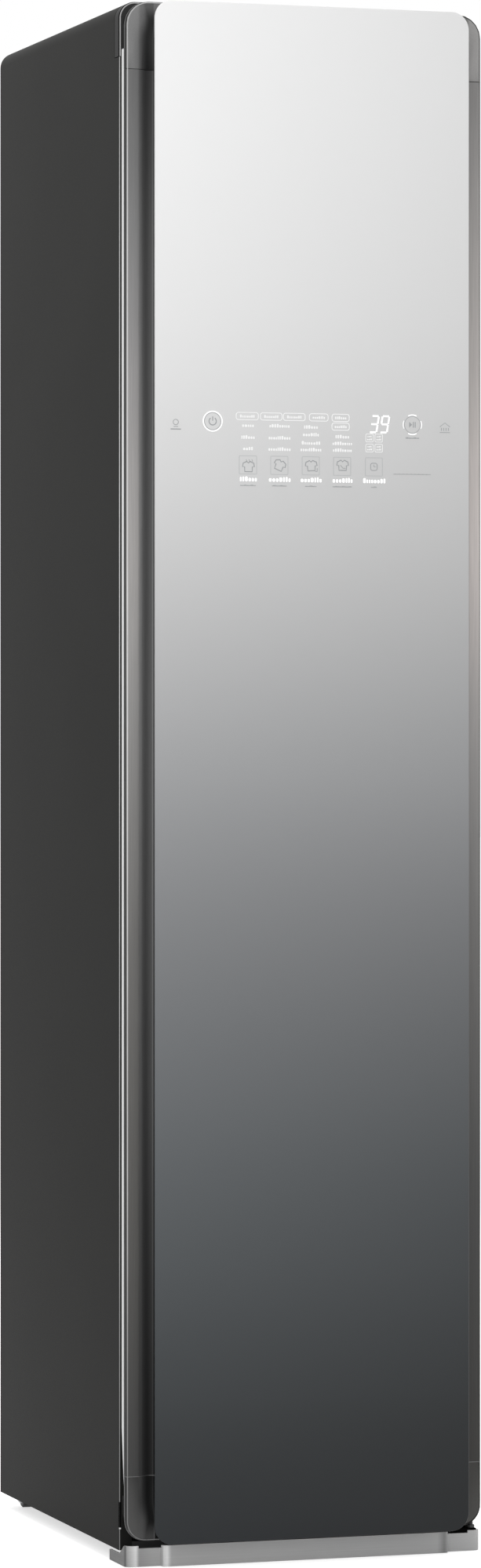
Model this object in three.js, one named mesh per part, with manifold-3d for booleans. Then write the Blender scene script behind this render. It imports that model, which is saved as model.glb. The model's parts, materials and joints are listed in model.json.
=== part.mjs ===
// Clothes care steam cabinet, in millimetres.
// X runs to the right, Y to the back and Z up. The origin is on the floor under the middle.

import * as THREE from 'three';
import { mergeVertices } from 'three/addons/utils/BufferGeometryUtils.js';
import Module from 'manifold-3d';

const wasm = await Module();
wasm.setup();

// Overall size
const width = 445;
const depth = 585;
const height = 1850;

// Shared clearances
const gap = 0.3;
const runningGap = 0.5;
const overrun = 3;
const mergeTolerance = 0.0001;

// Counts of facets
const roundSides = 16;
const smallSides = 8;
const cornerSteps = 5;
const bendSteps = 3;

// Case sheet and its feet
const caseLift = 16.8;
const caseSheet = 1.2;
const caseCorner = 20;
const caseBend = 2.5;
const flangeWidth = 15.7;
const doorDepth = 59.5;
const backRecess = 8;
const backSheet = 1.2;
const backFlange = 12;

// Trim over the front of the case top
const trimReach = 17.5;
const trimLeg = 65;
const trimSheet = 2.5;
const trimBend = 3;

// Door
const glassThickness = 4;
const glassSide = 25.8;
const glassBottom = 31.3;
const glassDrop = 5.1;
const glassCorner = 21.5;
const glassBevel = 0.8;
const frameSetback = 30;
const frameThickness = 10.5;
const frameBottom = 33;
const frameDrop = 3;
const frameCorner = 28;
const frameEdge = 3;
const plateauWidth = 14.5;
const topCapLeg = 80;
const bottomCapLeg = 74;
const grooveDepth = 8;
const grooveFall = 15;
const grooveRise = 9;
const webThickness = 4;
const coverInset = 3;
const coverWidth = 17;
const coverReach = 16;
const topCoverLeg = 53.5;
const bottomCoverLeg = 49;
const panelThickness = 9.7;
const fieldProud = 17;

// Door hinge on the right
const hingeInset = 9.5;
const hingePin = 3;
const hingeArmWidth = 10;
const hingeArm = 3;
const hingeSkin = 2.2;

// Cabin and tank bay
const linerWall = 2.5;
const cabinSide = 37;
const cabinLift = 17.5;
const cabinHeadroom = 92.5;
const cabinRear = 112.5;
const linerCorner = 18;
const bayBottom = 135;
const bayTop = 455;
const bayDepth = 193;
const bezelThickness = 2.5;

// Places that follow from those sizes
const halfWidth = width / 2;
const frontY = -depth / 2;
const backY = depth / 2;
const caseFront = frontY + doorDepth;
const trimBack = caseFront + trimReach;
const trimFoot = height - trimLeg;
const glassWidth = width - glassSide * 2;
const glassTop = height - glassDrop;
const frameTop = height - frameDrop;
const glassBack = frontY + glassThickness;
const frameFront = frontY + frameSetback;
const frameBack = frameFront + frameThickness;
const topCapFoot = frameTop - topCapLeg;
const bottomCapHead = frameBottom + bottomCapLeg;
const coverBack = frameBack + coverReach;
const topCoverFoot = frameTop - topCoverLeg;
const bottomCoverHead = frameBottom + bottomCoverLeg;
const panelFront = frameBack + gap;
const panelBack = panelFront + panelThickness;
const fieldBack = panelBack + fieldProud;
const hingeX = halfWidth - hingeInset;
const hingeY = frameBack;
const backPanelY = backY - backRecess;
const bezelFront = caseFront + gap;
const bezelBack = bezelFront + bezelThickness;
const linerFront = bezelBack + gap;
const cabinWidth = width - cabinSide * 2;
const cabinFloor = bayTop + cabinLift;
const cabinCeiling = height - cabinHeadroom;
const cabinBack = backY - cabinRear;
const bayBack = caseFront + bayDepth;
const cabinHalf = cabinWidth / 2;
const linerHalf = cabinHalf + linerWall;
const linerTop = cabinCeiling + linerWall;
const linerBottom = cabinFloor - linerWall;

const cabinet = new THREE.Group();

// Makes a closed geometry from points and triangles, with its faces pointing out
function closedGeometry(points, faces) {
  const [a, b, c] = [new THREE.Vector3(), new THREE.Vector3(), new THREE.Vector3()];
  let volume = 0;
  for (const face of faces) {
    a.fromArray(points[face[0]]);
    b.fromArray(points[face[1]]);
    c.fromArray(points[face[2]]);
    volume += a.dot(b.cross(c));
  }
  const outward = volume < 0 ? faces.map(([i, j, k]) => [i, k, j]) : faces;
  const geometry = new THREE.BufferGeometry();
  geometry.setAttribute('position', new THREE.Float32BufferAttribute(points.flat(), 3));
  geometry.setIndex(outward.flat());
  return geometry;
}

// Triangles that fill a flat outline, all turning the same way as the outline
function fillOutline(outline) {
  const contour = outline.map(([u, v]) => new THREE.Vector2(u, v));
  const turn = Math.sign(THREE.ShapeUtils.area(contour));
  return THREE.ShapeUtils.triangulateShape(contour, []).map(([i, j, k]) => {
    const area = THREE.ShapeUtils.area([contour[i], contour[j], contour[k]]);
    return Math.sign(area) === turn ? [i, j, k] : [i, k, j];
  });
}

// Joins rings of points into a skin. The outline says how the two ends are filled
function loft(rings, outline, joined = false) {
  const count = rings[0].length;
  const faces = [];
  const spans = joined ? rings.length : rings.length - 1;
  for (let i = 0; i < spans; i += 1) {
    const next = (i + 1) % rings.length;
    for (let j = 0; j < count; j += 1) {
      const k = (j + 1) % count;
      faces.push([i * count + j, i * count + k, next * count + k]);
      faces.push([i * count + j, next * count + k, next * count + j]);
    }
  }
  if (!joined) {
    const last = (rings.length - 1) * count;
    for (const [i, j, k] of fillOutline(outline)) {
      faces.push([i, k, j]);
      faces.push([last + i, last + j, last + k]);
    }
  }
  return closedGeometry(rings.flat(), faces);
}

// Runs a section of inset and Y along stations on an upright outline
function sweep(section, stations, joined = false) {
  const rings = stations.map(({ x, z, nx, nz }) =>
    section.map(([inset, y]) => [x - nx * inset, y, z - nz * inset]));
  return loft(rings, section, joined);
}

// Stations round one corner of an upright outline
function cornerStations(x, z, radius, startAngle, endAngle) {
  const stations = [];
  for (let i = 0; i <= cornerSteps; i += 1) {
    const angle = startAngle + (endAngle - startAngle) * i / cornerSteps;
    const [nx, nz] = [Math.cos(angle), Math.sin(angle)];
    stations.push({ x: x + radius * nx, z: z + radius * nz, nx, nz });
  }
  return stations;
}

// Stations up the left side, over the top and down the right side
function archStations(half, foot, top, radius) {
  return [
    { x: -half, z: foot, nx: -1, nz: 0 },
    ...cornerStations(radius - half, top - radius, radius, Math.PI, Math.PI / 2),
    ...cornerStations(half - radius, top - radius, radius, Math.PI / 2, 0),
    { x: half, z: foot, nx: 1, nz: 0 },
  ];
}

// Stations down the left side, under the bottom and up the right side
function cradleStations(half, head, bottom, radius) {
  return [
    { x: -half, z: head, nx: -1, nz: 0 },
    ...cornerStations(radius - half, bottom + radius, radius, Math.PI, Math.PI * 3 / 2),
    ...cornerStations(half - radius, bottom + radius, radius, Math.PI * 3 / 2, Math.PI * 2),
    { x: half, z: head, nx: 1, nz: 0 },
  ];
}

// Stations all round an upright rounded rectangle
function ringStations(half, bottom, top, radius) {
  return [
    ...cornerStations(half - radius, bottom + radius, radius, -Math.PI / 2, 0),
    ...cornerStations(half - radius, top - radius, radius, 0, Math.PI / 2),
    ...cornerStations(radius - half, top - radius, radius, Math.PI / 2, Math.PI),
    ...cornerStations(radius - half, bottom + radius, radius, Math.PI, Math.PI * 3 / 2),
  ];
}

// Points of an arc in a flat outline, first and last points included
function arcPoints(u, v, radius, startAngle, endAngle, steps) {
  const points = [];
  for (let i = 0; i <= steps; i += 1) {
    const angle = startAngle + (endAngle - startAngle) * i / steps;
    points.push([u + radius * Math.cos(angle), v + radius * Math.sin(angle)]);
  }
  return points;
}

// Points of a circle about the middle of its section
function circlePoints(radius, sides) {
  return arcPoints(0, 0, radius, 0, Math.PI * 2 * (1 - 1 / sides), sides - 1);
}

// The points of an outline without repeats
function distinctPoints(points) {
  const vectors = points.map(([u, v]) => new THREE.Vector2(u, v));
  return vectors.filter((vector, n) => {
    const before = vectors[(n + vectors.length - 1) % vectors.length];
    return vector.distanceTo(before) > mergeTolerance;
  });
}

// A flat shape from a list of points, with holes if any are given
function shapeOf(points, holes = []) {
  const shape = new THREE.Shape(distinctPoints(points));
  for (const hole of holes) {
    shape.holes.push(new THREE.Path(distinctPoints(hole)));
  }
  return shape;
}

// Points of a rounded rectangle
function roundedRectangle(u0, u1, v0, v1, radius, steps = cornerSteps) {
  return [
    ...arcPoints(u1 - radius, v0 + radius, radius, -Math.PI / 2, 0, steps),
    ...arcPoints(u1 - radius, v1 - radius, radius, 0, Math.PI / 2, steps),
    ...arcPoints(u0 + radius, v1 - radius, radius, Math.PI / 2, Math.PI, steps),
    ...arcPoints(u0 + radius, v0 + radius, radius, Math.PI, Math.PI * 3 / 2, steps),
  ];
}

function extrude(shape, length) {
  return new THREE.ExtrudeGeometry(shape, { depth: length, bevelEnabled: false });
}

// A plan outline carried up from one height to another
function standing(shape, z0, z1) {
  return extrude(shape, z1 - z0).translate(0, 0, z0);
}

// An outline of X and Z carried back from one depth to another
function facing(shape, y0, y1) {
  const turn = new THREE.Matrix4().makeBasis(
    new THREE.Vector3(1, 0, 0),
    new THREE.Vector3(0, 0, 1),
    new THREE.Vector3(0, -1, 0),
  );
  return extrude(shape, y1 - y0).applyMatrix4(turn).translate(0, y1, 0);
}

// An outline of Y and Z carried across from left to right
function sideways(shape, x0, x1) {
  const turn = new THREE.Matrix4().makeBasis(
    new THREE.Vector3(0, 1, 0),
    new THREE.Vector3(0, 0, 1),
    new THREE.Vector3(1, 0, 0),
  );
  return extrude(shape, x1 - x0).applyMatrix4(turn).translate(x0, 0, 0);
}

function block(x0, x1, y0, y1, z0, z1) {
  const box = new THREE.BoxGeometry(x1 - x0, y1 - y0, z1 - z0);
  return box.translate((x0 + x1) / 2, (y0 + y1) / 2, (z0 + z1) / 2);
}

// Round bars along each axis
function uprightRod(x, y, radius, z0, z1, sides = roundSides) {
  const rod = new THREE.CylinderGeometry(radius, radius, z1 - z0, sides).rotateX(Math.PI / 2);
  return rod.translate(x, y, (z0 + z1) / 2);
}

function crossRod(y, z, radius, x0, x1, sides = roundSides) {
  const rod = new THREE.CylinderGeometry(radius, radius, x1 - x0, sides).rotateZ(Math.PI / 2);
  return rod.translate((x0 + x1) / 2, y, z);
}

function depthRod(x, z, radius, y0, y1, sides = roundSides) {
  return new THREE.CylinderGeometry(radius, radius, y1 - y0, sides).translate(x, (y0 + y1) / 2, z);
}

// A profile of radius and height turned about an upright axis
function turned(profile, x, y, sides = roundSides) {
  const points = profile.map(([r, z]) => new THREE.Vector2(r, z));
  return new THREE.LatheGeometry(points, sides).rotateX(Math.PI / 2).translate(x, y, 0);
}

function solidOf(geometry) {
  const bare = geometry.clone();
  bare.deleteAttribute('normal');
  bare.deleteAttribute('uv');
  const merged = mergeVertices(bare, mergeTolerance);
  const kept = [];
  const index = merged.index.array;
  for (let i = 0; i < index.length; i += 3) {
    const [a, b, c] = [index[i], index[i + 1], index[i + 2]];
    if (a !== b && b !== c && c !== a) {
      kept.push(a, b, c);
    }
  }
  return new wasm.Manifold(new wasm.Mesh({
    numProp: 3,
    vertProperties: new Float32Array(merged.attributes.position.array),
    triVerts: new Uint32Array(kept),
  }));
}

function geometryOf(solid) {
  const mesh = solid.getMesh();
  const geometry = new THREE.BufferGeometry();
  geometry.setAttribute('position', new THREE.BufferAttribute(mesh.vertProperties, 3));
  geometry.setIndex(new THREE.BufferAttribute(mesh.triVerts, 1));
  return geometry;
}

function cut(body, ...tools) {
  return geometryOf(tools.reduce((left, tool) => left.subtract(solidOf(tool)), solidOf(body)));
}

function fuse(body, ...others) {
  return geometryOf(others.reduce((sum, other) => sum.add(solidOf(other)), solidOf(body)));
}

function mirrored(geometry) {
  const copy = geometry.index ? geometry.toNonIndexed() : geometry.clone();
  const position = copy.attributes.position;
  for (let i = 0; i < position.count; i += 3) {
    const corners = [0, 1, 2].map((n) => new THREE.Vector3().fromBufferAttribute(position, i + n));
    [corners[0], corners[2], corners[1]].forEach((corner, n) => {
      position.setXYZ(i + n, -corner.x, corner.y, corner.z);
    });
  }
  return copy;
}

// Adds a finished piece to the cabinet
function put(name, geometry, color, roughness, metalness) {
  const material = new THREE.MeshStandardMaterial({ color, roughness, metalness });
  const mesh = new THREE.Mesh(geometryOf(solidOf(geometry)), material);
  mesh.name = name;
  cabinet.add(mesh);
}

// Folded sheet section, from the back of a wall round the front bend to the flange tip
function foldedSection(back, front, flange, sheet, bend) {
  const outer = arcPoints(bend, front + bend, bend, Math.PI, Math.PI * 3 / 2, bendSteps);
  const inner = arcPoints(bend, front + bend, bend - sheet, Math.PI * 3 / 2, Math.PI, bendSteps);
  return [
    [0, back],
    ...outer,
    [flange, front],
    [flange, front + sheet],
    ...inner,
    [sheet, back],
  ];
}

// Case: one sheet folded over the sides and top, with a return flange at the front
const hingeSlotClear = 0.7;
const lowerArmBottom = 27.5;
const lowerArmTop = lowerArmBottom + hingeArm;
const upperArmDrop = 20;
const upperArmTop = height - upperArmDrop;
const upperArmBottom = upperArmTop - hingeArm;

function hingeSlot(z0, z1) {
  const half = hingeArmWidth / 2 + hingeSlotClear;
  return block(
    hingeX - half, hingeX + half,
    caseFront - overrun, caseFront + flangeWidth,
    z0 - hingeSlotClear, z1 + hingeSlotClear,
  );
}

function makeOuterCase() {
  const section = foldedSection(backY, caseFront, flangeWidth, caseSheet, caseBend);
  const wrap = sweep(section, archStations(halfWidth, caseLift, height, caseCorner));
  const trimRoom = block(
    -halfWidth - overrun, halfWidth + overrun,
    caseFront - overrun, trimBack + gap,
    trimFoot - gap, height + overrun,
  );
  put('outer_case', cut(wrap, trimRoom, hingeSlot(lowerArmBottom, lowerArmTop)), 0x45443f, 0.45, 0.4);
}

function makeTopTrim() {
  const section = foldedSection(trimBack, caseFront, flangeWidth, trimSheet, trimBend);
  const trim = sweep(section, archStations(halfWidth, trimFoot, height, caseCorner));
  put('top_front_trim', cut(trim, hingeSlot(upperArmBottom, upperArmTop)), 0x4a4a48, 0.4, 0.3);
}

// Back panel: a shallow pan with pressed beads and rows of vent slots
const backBead = 3;
const backBeadWidth = 10;
const backBeadInset = 70;
const ventLength = 110;
const ventHeight = 6;
const ventPitch = 16;
const ventRows = 7;
const ventFoot = 70;
const ventInset = 36;
const ventSteps = 1;
const glandInset = 52.5;
const glandX = halfWidth - glandInset;
const glandZ = 60;
const glandRadius = 9;

function makeBackPanel() {
  const half = halfWidth - caseSheet - gap;
  const top = height - caseSheet - gap;
  const radius = caseCorner - caseSheet - gap;
  const inner = backPanelY - backSheet;
  const arch = archStations(half, caseLift, top, radius).map(({ x, z }) => [x, z]);
  const vents = [];
  for (let row = 0; row < ventRows; row += 1) {
    for (const side of [-1, 1]) {
      const middle = side * (ventInset + ventLength / 2);
      const bottom = ventFoot + ventPitch * (row + 1) + glandRadius * 2;
      vents.push(facing(shapeOf(roundedRectangle(
        middle - ventLength / 2, middle + ventLength / 2,
        bottom, bottom + ventHeight,
        ventHeight / 2, ventSteps,
      )), inner - overrun, backPanelY + overrun));
    }
  }
  const plate = facing(shapeOf(arch), inner, backPanelY);
  const rimSection = [
    [0, inner - backFlange],
    [0, backPanelY - backSheet / 2],
    [backSheet, backPanelY - backSheet / 2],
    [backSheet, inner - backFlange],
  ];
  const rim = sweep(rimSection, archStations(half, caseLift, top, radius));
  const beads = [-1, 1].map((side) => facing(shapeOf(roundedRectangle(
    side * backBeadInset - backBeadWidth / 2, side * backBeadInset + backBeadWidth / 2,
    linerBottom, linerTop,
    backBeadWidth / 2 - gap, bendSteps,
  )), inner - backBead, backPanelY - backSheet / 2));
  const gland = depthRod(glandX, glandZ, glandRadius + gap, inner - overrun, backPanelY + overrun);
  put('back_panel', cut(fuse(plate, rim, ...beads), gland, ...vents), 0x6d6f70, 0.5, 0.6);
}

// Gland where the mains lead leaves the back
const glandHead = 13;
const glandProud = 5;
const glandTail = 16;
const glandBore = 4;

function makeGland() {
  const inner = backPanelY - backSheet;
  const headSide = depthRod(glandX, glandZ, glandHead, backPanelY + gap, backPanelY + glandProud);
  const shank = depthRod(glandX, glandZ, glandRadius, inner - glandTail, backPanelY + glandProud / 2);
  const nut = depthRod(glandX, glandZ, glandHead, inner - glandProud - gap, inner - gap, 6);
  const bore = depthRod(
    glandX, glandZ, glandBore,
    inner - glandTail - overrun, backPanelY + glandProud + overrun,
    smallSides,
  );
  put('cord_gland', cut(fuse(headSide, shank, nut), bore), 0x202020, 0.6, 0);
}

// Base pan: a pressed tray that carries the feet, the rollers and the machine
const panSheet = 2;
const panWall = 10;
const panRibHeight = 3;
const panRibWidth = 14;
const panRibPitch = 70;
const panRibs = 4;
const footInset = 34.5;
const footSetback = 33;
const footX = halfWidth - footInset;
const footY = caseFront + footSetback;
const footStud = 5;
const footDisc = 17;
const footHeight = 8;
const footReach = 44;
const nutRadius = 11;
const nutHeight = 7;
const rollerRadius = 12;
const rollerWidth = 14;
const rollerInset = 26.5;
const rollerSetback = 22.5;
const rollerX = halfWidth - rollerInset;
const rollerY = backPanelY - rollerSetback;
const rollerAxle = 3;
const rollerWell = 4;
const rollerEdge = 1.5;
const cheekThickness = 2;
const panFloor = caseLift + panSheet;
const panBack = backPanelY - backSheet - backFlange - gap;

function makeBasePan() {
  const half = halfWidth - caseSheet - gap;
  const front = caseFront + caseBend + gap;
  const tray = cut(
    block(-half, half, front, panBack, caseLift, caseLift + panWall),
    block(
      panSheet - half, half - panSheet,
      front + panSheet, panBack - panSheet,
      panFloor, caseLift + panWall + overrun,
    ),
  );
  const additions = [];
  for (let rib = 0; rib < panRibs; rib += 1) {
    const x = (rib - (panRibs - 1) / 2) * panRibPitch;
    additions.push(standing(shapeOf(roundedRectangle(
      x - panRibWidth / 2, x + panRibWidth / 2,
      front + panRibPitch / 2, bayBack,
      panRibWidth / 2 - gap, bendSteps,
    )), caseLift + panSheet / 2, panFloor + panRibHeight));
  }
  const cuts = [];
  for (const side of [-1, 1]) {
    additions.push(uprightRod(side * footX, footY, nutRadius, caseLift + panSheet / 2, panFloor + nutHeight, 6));
    cuts.push(uprightRod(side * footX, footY, footStud + gap, 0, footReach + overrun));
    const wellHalf = rollerWidth / 2 + cheekThickness + rollerWell;
    cuts.push(block(
      side * rollerX - wellHalf, side * rollerX + wellHalf,
      rollerY - rollerRadius - rollerWell, rollerY + rollerRadius + rollerWell,
      0, caseLift + panWall + overrun,
    ));
  }
  put('base_pan', cut(fuse(tray, ...additions), ...cuts), 0x2c2c2c, 0.6, 0.5);
}

// Levelling feet that screw up through the pan
function makeFeet() {
  const chamfer = footHeight / 4;
  for (const [label, side] of [['left', -1], ['right', 1]]) {
    put(`front_foot_${label}`, turned([
      [0, 0],
      [footDisc - chamfer, 0],
      [footDisc, chamfer],
      [footDisc, footHeight - chamfer],
      [footStud * 2, footHeight],
      [footStud, footHeight],
      [footStud, footReach - chamfer],
      [footStud - chamfer, footReach],
      [0, footReach],
    ], side * footX, footY), 0x1b1b1b, 0.7, 0);
  }
}

// Rear rollers in their brackets
const bracketTop = 34;
const bracketFlange = 9;
const bracketTip = 6;

function makeRollers() {
  for (const [label, side] of [['left', -1], ['right', 1]]) {
    const x = side * rollerX;
    const inner = rollerWidth / 2 + runningGap;
    const outer = inner + cheekThickness;
    const hollow = rollerAxle + gap;
    const wheel = turned([
      [hollow, -rollerWidth / 2],
      [rollerRadius - rollerEdge, -rollerWidth / 2],
      [rollerRadius, rollerEdge - rollerWidth / 2],
      [rollerRadius, rollerWidth / 2 - rollerEdge],
      [rollerRadius - rollerEdge, rollerWidth / 2],
      [hollow, rollerWidth / 2],
      [hollow, -rollerWidth / 2],
    ], 0, 0).rotateY(Math.PI / 2).translate(x, rollerY, rollerRadius);
    put(`rear_roller_${label}`, wheel, 0x26272a, 0.6, 0);
    const head = rollerAxle + cheekThickness;
    put(`roller_axle_${label}`, fuse(
      crossRod(rollerY, rollerRadius, rollerAxle, x - outer - cheekThickness, x + outer + cheekThickness, smallSides),
      crossRod(rollerY, rollerRadius, head, x + outer + gap, x + outer + cheekThickness + gap, smallSides),
      crossRod(rollerY, rollerRadius, head, x - outer - cheekThickness - gap, x - outer - gap, smallSides),
    ), 0xa8a8a8, 0.35, 0.9);
    const reach = rollerRadius + rollerWell - gap;
    const cheek = shapeOf([
      [rollerY - reach, bracketTop],
      [rollerY - reach, panFloor],
      [rollerY - bracketTip, rollerRadius - bracketTip],
      [rollerY + bracketTip, rollerRadius - bracketTip],
      [rollerY + reach, panFloor],
      [rollerY + reach, bracketTop],
    ]);
    const lowTop = panFloor + gap;
    const flange = block(
      x - outer - rollerWell - bracketFlange, x + outer + rollerWell + bracketFlange,
      rollerY - reach - bracketFlange, panBack - panSheet - gap,
      lowTop, lowTop + cheekThickness,
    );
    const roomBelow = block(
      x - inner, x + inner,
      rollerY - reach - overrun, rollerY + reach + overrun,
      0, bracketTop - cheekThickness,
    );
    const bracket = cut(
      fuse(sideways(cheek, x - outer, x + outer), flange),
      roomBelow,
      crossRod(rollerY, rollerRadius, rollerAxle + gap, x - outer - overrun, x + outer + overrun, smallSides),
    );
    put(`roller_bracket_${label}`, bracket, 0x8c8d8e, 0.45, 0.8);
  }
}

// Kick plate: one moulding with end tabs, stepped in beside them, and arms under the sides
const skirtLift = 0.5;
const skirtWall = 3;
const skirtMainReach = 8.1;
const skirtSetback = 32.6;
const skirtMainInset = 46.5;
const skirtMainHalf = halfWidth - skirtMainInset;
const skirtStep = 6;
const skirtTab = 16;
const skirtTabTop = 25;
const skirtRecessTop = 22;
const skirtMainTop = 25.5;
const skirtCorner = 8;
const skirtArmTop = 13;
const skirtArmReach = 40;
const skirtArmBack = caseFront + skirtArmReach;
const skirtFoot = 120;
const skirtFootWidth = 24;

function skirtOutline(inset) {
  const sideX = halfWidth - inset;
  const tabY = frontY + skirtSetback + inset;
  const mainY = tabY - skirtMainReach;
  const corner = skirtCorner - inset;
  const back = skirtArmBack + (inset > 0 ? overrun : 0);
  const stepX = skirtMainHalf + skirtStep / 2 - inset / 2;
  const right = [
    [stepX - skirtStep / 2, mainY],
    ...arcPoints(stepX - skirtStep / 2, mainY + skirtStep / 2, skirtStep / 2, -Math.PI / 2, 0, bendSteps).slice(1),
    [stepX + skirtStep / 4, tabY],
    ...arcPoints(sideX - corner, tabY + corner, corner, -Math.PI / 2, 0, cornerSteps),
    [sideX, back],
  ];
  const left = right.map(([x, y]) => [-x, y]).reverse();
  return [...left, ...right];
}

function makeSkirt() {
  const shell = cut(
    standing(shapeOf(skirtOutline(0)), skirtLift, skirtMainTop),
    standing(shapeOf(skirtOutline(skirtWall)), skirtLift - overrun, skirtMainTop + overrun),
  );
  const tabY = frontY + skirtSetback;
  const cuts = [];
  for (const side of [-1, 1]) {
    const tabInner = side * (halfWidth - skirtTab);
    const stepX = side * (skirtMainHalf + skirtStep / 4);
    cuts.push(block(
      Math.min(tabInner, stepX), Math.max(tabInner, stepX),
      tabY - overrun, tabY + skirtWall + overrun,
      skirtRecessTop, skirtMainTop + overrun,
    ));
    const [outer, inner] = [side * (halfWidth + overrun), tabInner];
    cuts.push(block(
      Math.min(outer, inner), Math.max(outer, inner),
      tabY - overrun, tabY + skirtCorner,
      skirtTabTop, skirtMainTop + overrun,
    ));
  }
  const armRise = shapeOf([
    [tabY + skirtCorner, skirtTabTop],
    [caseFront - gap, skirtArmTop],
    [skirtArmBack + overrun, skirtArmTop],
    [skirtArmBack + overrun, skirtMainTop + overrun],
    [tabY + skirtCorner, skirtMainTop + overrun],
  ]);
  cuts.push(sideways(armRise, -halfWidth - overrun, halfWidth + overrun));
  const feet = [-1, 1].map((side) => block(
    side * skirtFoot - skirtFootWidth / 2, side * skirtFoot + skirtFootWidth / 2,
    tabY - skirtMainReach + skirtWall / 2, caseFront + skirtFootWidth,
    skirtArmTop, caseLift - gap,
  ));
  put('front_skirt', fuse(cut(shell, ...cuts), ...feet), 0xa9aaab, 0.35, 0.7);
}

// Front bezel round the two openings, which the door gasket meets
function makeBezel() {
  const half = halfWidth - flangeWidth - gap;
  const outline = roundedRectangle(
    -half, half, caseLift + panWall + gap, height - flangeWidth - gap, caseCorner - flangeWidth - gap,
  );
  const cabinHole = roundedRectangle(-cabinHalf, cabinHalf, cabinFloor, cabinCeiling, linerWall).reverse();
  const bayHole = roundedRectangle(
    -cabinHalf, cabinHalf, bayBottom + linerWall, bayTop - linerWall, linerWall,
  ).reverse();
  put('front_bezel', facing(shapeOf(outline, [cabinHole, bayHole]), bezelFront, bezelBack), 0xd8d8d6, 0.5, 0);
}

// Cabin liner: one moulding with round back corners, shelf ledges and pressed wall ribs
const ledgeProud = 6;
const ledgeHeight = 8;
const shelfLift = 41.5;
const shelfBottom = cabinFloor + shelfLift;
const shelfSetback = 48;
const shelfBackClear = 30;
const shelfFront = caseFront + shelfSetback;
const shelfBack = cabinBack - shelfBackClear;
const wallRibProud = 2;
const wallRibWidth = 16;
const wallRibPitch = 90;
const wallRibs = 3;
const wallRibLift = 147.5;
const wallRibFoot = cabinFloor + wallRibLift;
const wallRibDrop = 277.5;
const wallRibHead = cabinCeiling - wallRibDrop;
const grilleSide = 75.5;
const grilleWidth = cabinWidth - grilleSide * 2;
const grilleDepth = 46;
const grilleBackClear = 34;
const outletLift = 187.5;
const outletFoot = cabinFloor + outletLift;
const outletHeight = 46;
const filterThick = 16;
const filterSide = 5;
const filterWidth = grilleWidth - filterSide * 2;
const filterSetback = 12;
const filterFront = caseFront + filterSetback;
const nozzleClear = 22;
const nozzleSetback = 60;
const nozzleX = -grilleWidth / 2 - nozzleClear;
const nozzleY = bayBack + nozzleSetback;
const nozzleRadius = 12;
const barY = (linerFront + cabinBack) / 2;
const strapInset = 75.5;
const strapX = cabinHalf - strapInset;
const strapHalf = 10;
const strapThick = 5;
const barTravel = 20;

function strapSlot(side, z0, z1) {
  const reach = strapHalf + barTravel + runningGap * 2;
  const half = strapThick / 2 + runningGap * 2;
  return block(side * strapX - reach, side * strapX + reach, barY - half, barY + half, z0, z1);
}

function linerPlan(half, back, radius) {
  return [
    [-half, linerFront],
    [half, linerFront],
    ...arcPoints(half - radius, back - radius, radius, 0, Math.PI / 2, cornerSteps),
    ...arcPoints(radius - half, back - radius, radius, Math.PI / 2, Math.PI, cornerSteps),
  ];
}

function makeCabinLiner() {
  const outer = standing(
    shapeOf(linerPlan(linerHalf, cabinBack + linerWall, linerCorner + linerWall)),
    linerBottom, linerTop,
  );
  const innerPlan = linerPlan(cabinHalf, cabinBack, linerCorner);
  innerPlan[0][1] -= overrun;
  innerPlan[1][1] -= overrun;
  const shell = cut(outer, standing(shapeOf(innerPlan), cabinFloor, cabinCeiling));
  const additions = [];
  for (const side of [-1, 1]) {
    const wall = side * (cabinHalf + linerWall / 2);
    const ledge = side * (cabinHalf - ledgeProud);
    additions.push(block(
      Math.min(wall, ledge), Math.max(wall, ledge),
      shelfFront, shelfBack, shelfBottom - gap - ledgeHeight, shelfBottom - gap,
    ));
    for (let rib = 0; rib < wallRibs; rib += 1) {
      const y = barY + (rib - (wallRibs - 1) / 2) * wallRibPitch;
      const face = side * (cabinHalf - wallRibProud);
      const outline = roundedRectangle(
        y - wallRibWidth / 2, y + wallRibWidth / 2, wallRibFoot, wallRibHead, wallRibWidth / 2 - gap, bendSteps,
      );
      additions.push(sideways(shapeOf(outline), Math.min(wall, face), Math.max(wall, face)));
    }
  }
  const floorCut = [linerBottom - overrun, cabinFloor + overrun];
  const filterHalf = filterWidth / 2 + runningGap;
  const cuts = [
    block(
      gap - grilleWidth / 2, grilleWidth / 2 - gap,
      cabinBack - grilleBackClear - grilleDepth + gap, cabinBack - grilleBackClear - gap, ...floorCut,
    ),
    block(
      gap - grilleWidth / 2, grilleWidth / 2 - gap,
      cabinBack - overrun, cabinBack + linerWall + overrun,
      outletFoot + gap, outletFoot + outletHeight - gap,
    ),
    block(
      -filterHalf, filterHalf,
      filterFront - runningGap, filterFront + filterThick + runningGap, ...floorCut,
    ),
    uprightRod(nozzleX, nozzleY, nozzleRadius + gap, ...floorCut),
    strapSlot(-1, cabinCeiling - overrun, linerTop + overrun),
    strapSlot(1, cabinCeiling - overrun, linerTop + overrun),
  ];
  put('cabin_liner', cut(fuse(shell, ...additions), ...cuts), 0xdededc, 0.5, 0);
}

// Slotted grille with slanted bars in a frame, drawn flat with its face up
const grilleFrame = 5;
const grilleThick = 4;
const grilleLip = 3;
const grilleBars = 8;
const grilleBarThick = 2;
const grilleSlantShare = 0.45;

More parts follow.
